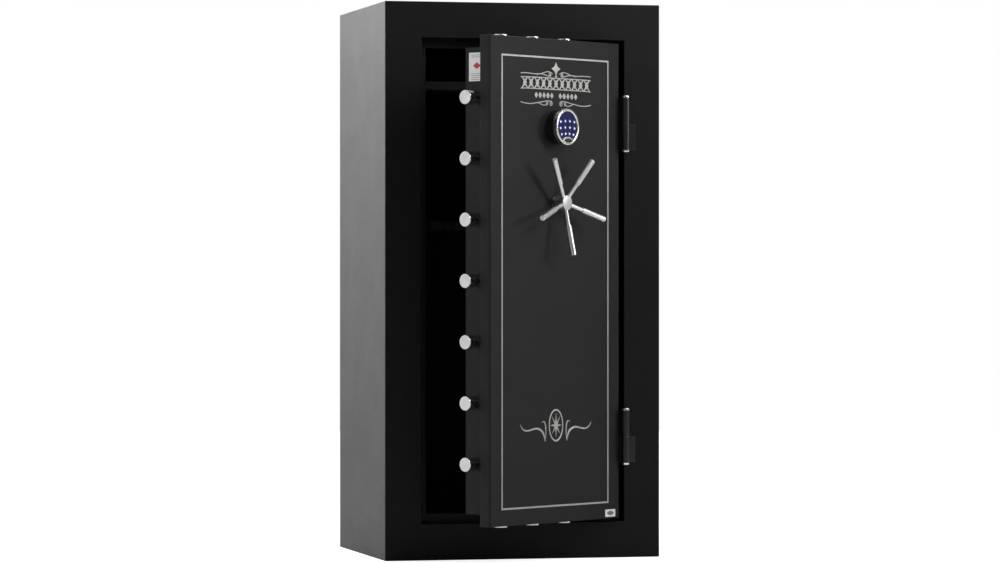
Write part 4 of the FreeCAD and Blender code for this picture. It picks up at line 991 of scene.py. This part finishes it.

# %% [markdown]
# ## Keypad
# The keypad is a gloss black drum with a dark blue face, held by a chrome bezel whose lower part
# widens into an arch. Twelve lit keys stand in three rows. The drum and the bezel's ring are spun
# profiles. The arch is a flat ellipse, cut off where the ring hides it and given a thickness.

# %% Turn the drum and ease the keypad's face
housing_low, housing_high = extent("keypad_housing")
keypad_middle = (housing_low + housing_high) / 2
drum_radius = (housing_high.x - housing_low.x) / 2
drum_length = housing_high.y - housing_low.y
keypad_place = towards((keypad_middle.x, housing_high.y, keypad_middle.z), (0, -1, 0))
drum = turned([(0, 0), (drum_radius - 0.6 * MM, 0), (drum_radius, 0.6 * MM), (drum_radius, drum_length * 0.5),
               (drum_radius - 0.4 * MM, drum_length - 1.6 * MM),
               (drum_radius - 1.4 * MM, drum_length - 0.4 * MM),
               (drum_radius - 2.6 * MM, drum_length), (0, drum_length)], 80)
finish_piece(drum, "keypad_drum", "black_plastic", "door", on_door @ keypad_place, ("keypad_housing",))
softened_copy("keypad_face", 0.3 * MM, "keypad_window", "keypad_blue", "door")

# %% Turn the bezel's ring and add its arch
bezel_low, bezel_high = extent("keypad_bezel")
bezel_radius = (bezel_high.x - bezel_low.x) / 2
bezel_depth = bezel_high.y - bezel_low.y
WINDOW_RADIUS, WINDOW_SINK = 41 * MM, 3.5 * MM
RIM_RISE, RIM_STEPS = 2.6 * MM, 8
middle_radius = (bezel_radius + WINDOW_RADIUS) / 2
ring_profile = [(drum_radius, 0), (bezel_radius - 0.6 * MM, 0), (bezel_radius, 0.6 * MM)]
for step in range(RIM_STEPS + 1):
    turn = math.pi * step / RIM_STEPS
    ring_profile.append((middle_radius + (bezel_radius - middle_radius) * math.cos(turn),
                         bezel_depth - RIM_RISE + RIM_RISE * math.sin(turn)))
ring_profile += [(WINDOW_RADIUS, bezel_depth - WINDOW_SINK), (drum_radius, bezel_depth - WINDOW_SINK)]
ring = turned(ring_profile, 96, closed=True)
ARCH_HALF_WIDTH, ARCH_HALF_HEIGHT = 24 * MM, 15 * MM
ARCH_CUT, ARCH_SETBACK = 1.5 * MM, 0.4 * MM
arch = bmesh.new()
bmesh.ops.create_circle(arch, cap_ends=True, segments=64, radius=1,
                        matrix=Matrix.Diagonal((ARCH_HALF_WIDTH, ARCH_HALF_HEIGHT, 1, 1)))
bmesh.ops.bisect_plane(arch, geom=arch.verts[:] + arch.edges[:] + arch.faces[:], plane_co=(0, -ARCH_CUT, 0),
                       plane_no=(0, 1, 0), clear_inner=True)
rise = bmesh.ops.extrude_face_region(arch, geom=arch.faces[:])["geom"]
bmesh.ops.translate(arch, vec=(0, 0, WINDOW_SINK - ARCH_SETBACK), verts=points_in(rise))
bmesh.ops.recalc_face_normals(arch, faces=arch.faces)
soften(arch, 0.9 * MM, segments=3, from_angle=50)
arch_place = Matrix.Translation((0, -WINDOW_RADIUS, bezel_depth - WINDOW_SINK))
bezel_place = towards((keypad_middle.x, bezel_high.y, keypad_middle.z), (0, -1, 0))
bezel = gather([(ring, Matrix.Identity(4)), (arch, arch_place)])
finish_piece(bezel, "keypad_bezel_ring", "chrome_plate", "door", on_door @ bezel_place, ("keypad_bezel",))

# %% Set the window and its two dots in the bezel's arch
ARCH_DROP = 36.5
window_place = at(0, keypad_middle.z / MM - ARCH_DROP, bezel_low.y / MM)
PANE_RADIUS, PANE_SQUASH = 16.5 * MM, 0.32
pane = turned([(0, -0.2 * MM), (15 * MM, -0.2 * MM), (PANE_RADIUS, -0.5 * MM), (PANE_RADIUS, -1.6 * MM),
               (0, -1.6 * MM)], 48)
finish_piece(pane, "keypad_oval_window", "black_plastic", "door",
             on_door @ window_place @ Matrix.Diagonal((1, 1, PANE_SQUASH, 1)) @ UPRIGHT)
DOT_SPREAD = 4 * MM
dots = gather([(turned([(0, 0.45 * MM), (0.8 * MM, 0.3 * MM), (1.1 * MM, 0), (0, 0)], 20),
                Matrix.Translation((side * DOT_SPREAD, 0, 0)) @ UPRIGHT) for side in (-1, 1)])
finish_piece(dots, "keypad_window_dots", "badge_grey", "door", on_door @ window_place)

# %% Cap the keys
KEY_SIGNS = "123456789*0#"
SIGN_SIZE, SIGN_RAISE = 5.0 * MM, 0.06 * MM


def sign(character, size):
    """A character of the built-in font as a thin raised mesh, centred on the origin."""
    text = bpy.data.curves.new("sign", "FONT")
    text.body, text.size, text.extrude = character, size, SIGN_RAISE
    text.align_x, text.align_y = "CENTER", "CENTER"
    text.resolution_u = 3
    holder = bpy.data.objects.new("sign", text)
    mesh = bpy.data.meshes.new_from_object(holder)
    bm = bmesh.new()
    bm.from_mesh(mesh)
    bpy.data.objects.remove(holder)
    bpy.data.meshes.remove(mesh)
    return bm


for number, character in enumerate(KEY_SIGNS, start=1):
    node = f"key_{number:02d}"
    low, high = extent(node)
    depth = high.y - low.y
    cap = turned([(0, depth), (KEY_RADIUS * 0.55, depth - 0.04 * MM), (KEY_RADIUS * 0.84, depth - 0.16 * MM),
                  (KEY_RADIUS * 0.97, depth - 0.42 * MM), (KEY_RADIUS, depth - 0.75 * MM), (KEY_RADIUS, 0),
                  (0, 0)], 28)
    middle = (low + high) / 2
    key_place = towards((middle.x, high.y, middle.z), (0, -1, 0))
    finish_piece(cap, f"key_cap_{number:02d}", "key_white", node, on_door @ key_place, (node,))
    sign_place = on_door @ Matrix.Translation((middle.x, low.y, middle.z)) @ UPRIGHT
    finish_piece(sign(character, SIGN_SIZE), f"key_sign_{number:02d}", "grey_ink", node, sign_place)

# %% [markdown]
# ## Handle
# Five spokes screw into a flat hub. Each is a thin rod that enters a thicker grip with a visible
# joint, and leans forward so that knuckles clear the door. Hub, rosette and spokes are all lathe
# work, so each is a profile that is spun, and the spokes are five copies at a fifth of a turn.

# %% Turn the hub and the rosette
HUB_RADIUS, NECK_RADIUS = 20 * MM, 13 * MM
hub_low, hub_high = extent("handle_hub")
hub_middle = Vector((0, hub_high.y, handle_axle.z))
hub_length = hub_high.y - hub_low.y
hub_place = towards(hub_middle, (0, -1, 0))
HUB_PLATE = 18 * MM
hub_back = hub_length - HUB_PLATE
hub = turned([(0, 0), (NECK_RADIUS - 0.5 * MM, 0), (NECK_RADIUS, 0.5 * MM), (NECK_RADIUS, hub_back - 2 * MM),
              (NECK_RADIUS + 0.6 * MM, hub_back - 0.6 * MM), (NECK_RADIUS + 2 * MM, hub_back),
              (HUB_RADIUS - 2.2 * MM, hub_back), (HUB_RADIUS - 0.6 * MM, hub_back + 0.6 * MM),
              (HUB_RADIUS, hub_back + 2.2 * MM), (HUB_RADIUS, hub_length - 2.4 * MM),
              (HUB_RADIUS - 0.7 * MM, hub_length - 0.8 * MM), (HUB_RADIUS - 2.4 * MM, hub_length),
              (0, hub_length)], 72)
finish_piece(hub, "handle_hub_turned", "satin_chrome", "handle", on_door @ hub_place, ("handle_hub",))
rosette_low, rosette_high = extent("handle_rosette")
rosette_length = rosette_high.y - rosette_low.y
rosette_radius = (rosette_high.x - rosette_low.x) / 2
rosette_bore = NECK_RADIUS + 0.8 * MM
rosette = turned([(rosette_bore, 0), (rosette_radius, 0), (rosette_radius, rosette_length * 0.35),
                  (rosette_radius - 1 * MM, rosette_length * 0.75), (rosette_radius - 3 * MM, rosette_length),
                  (rosette_bore, rosette_length)], 64, closed=True)
rosette_place = on_door @ towards((0, rosette_high.y, handle_axle.z), (0, -1, 0))
finish_piece(rosette, "handle_rosette_turned", "black_steel", "door", rosette_place, ("handle_rosette",))

# %% Turn the spokes
SPOKES = 5
SPOKE_START, SPOKE_TIP, SPOKE_ROOT_DEPTH, SPOKE_FORWARD = 15 * MM, 140 * MM, -32 * MM, 27 * MM
ROD_RADIUS, GRIP_RADIUS, GRIP_START = 5.75 * MM, 8 * MM, 46 * MM
spoke_length = math.hypot(SPOKE_TIP - SPOKE_START, SPOKE_FORWARD)
COLLAR_RADIUS = 6.5 * MM
spoke_profile = [(0, 0), (ROD_RADIUS, 0), (ROD_RADIUS, GRIP_START - 1.6 * MM),
                 (COLLAR_RADIUS, GRIP_START - 1.2 * MM), (COLLAR_RADIUS, GRIP_START - 0.2 * MM),
                 (ROD_RADIUS, GRIP_START), (ROD_RADIUS, GRIP_START + 0.6 * MM),
                 (7.1 * MM, GRIP_START + 0.6 * MM), (7.8 * MM, GRIP_START + 1.0 * MM),
                 (GRIP_RADIUS, GRIP_START + 2.0 * MM),
                 (GRIP_RADIUS, spoke_length - 2.2 * MM), (7.6 * MM, spoke_length - 0.9 * MM),
                 (6.4 * MM, spoke_length - 0.1 * MM), (5.6 * MM, spoke_length), (2.4 * MM, spoke_length),
                 (1.7 * MM, spoke_length - 0.8 * MM), (0, spoke_length - 1.0 * MM)]
spokes = []
for index in range(SPOKES):
    turn = math.radians(-90 + index * 360 / SPOKES)
    outward = Vector((math.cos(turn), 0, math.sin(turn)))
    start = Vector((0, SPOKE_ROOT_DEPTH, handle_axle.z)) + outward * SPOKE_START
    lean = outward * (SPOKE_TIP - SPOKE_START) + Vector((0, -SPOKE_FORWARD, 0))
    spokes.append((turned(spoke_profile, 40), towards(start, lean)))
finish_piece(gather(spokes), "handle_spokes_turned", "satin_chrome", "handle", on_door, ("handle_spokes",))
spokes_low = extent("handle_spokes")[0]
print("spokes reach", round(spokes_low.y / MM, 1), "mm forward")

# %% [markdown]
# ## Screws on the back of the door
# Pan-head screws hold the panel over the bolt work. A pan head is a low dome with a
# driver's socket, so it is a spun profile whose middle sinks.

# %% Turn the panel screws
def corners_of_solids(node):
    """The two corners of every separate solid in a CAD node, in the door's directions."""
    bm = bmesh.new()
    bm.from_mesh(nodes[node].data)
    bmesh.ops.remove_doubles(bm, verts=bm.verts, dist=MERGE_DISTANCE)
    bm.transform(on_door.inverted())
    found, left = [], set(bm.verts)
    while left:
        island, edge_of = set(), [left.pop()]
        while edge_of:
            vertex = edge_of.pop()
            island.add(vertex)
            near = {edge.other_vert(vertex) for edge in vertex.link_edges} & left
            left -= near
            edge_of += near
        low = Vector([min(vertex.co[axis] for vertex in island) for axis in range(3)])
        high = Vector([max(vertex.co[axis] for vertex in island) for axis in range(3)])
        found.append((low, high))
    bm.free()
    return found


screws = []
for low, high in corners_of_solids("panel_screws"):
    radius, height = (high.x - low.x) / 2, high.y - low.y
    head = turned([(0, 0), (radius, 0), (radius, height * 0.45), (radius * 0.9, height * 0.8),
                   (radius * 0.62, height), (radius * 0.42, height), (radius * 0.36, height * 0.45),
                   (0, height * 0.4)], 24)
    screws.append((head, towards(((low.x + high.x) / 2, low.y, (low.z + high.z) / 2), (0, 1, 0))))
print(len(screws), "screws")
finish_piece(gather(screws), "panel_screws_turned", "black_steel", "door", on_door, ("panel_screws",))

# %% [markdown]
# ## The rest of the frame
# The boltwork, the lock, the shelf standards and the fireproof boards keep their CAD shapes, which
# are right as they are. Each takes the finish that the record names for it.

# %% Finish the CAD pieces that stay in view
slot_of = {entry["node"]: entry["material_slot"] for entry in frame["record"]["subparts"]}
kept = [(name, node) for name, node in nodes.items() if not node.hide_render]
for name, node in kept:
    if not node.data.materials:
        node.data.materials.append(None)
    for material_slot in node.material_slots:
        material_slot.material = finishes[slot_of[name]]
print(len(kept), "CAD nodes keep their shape")
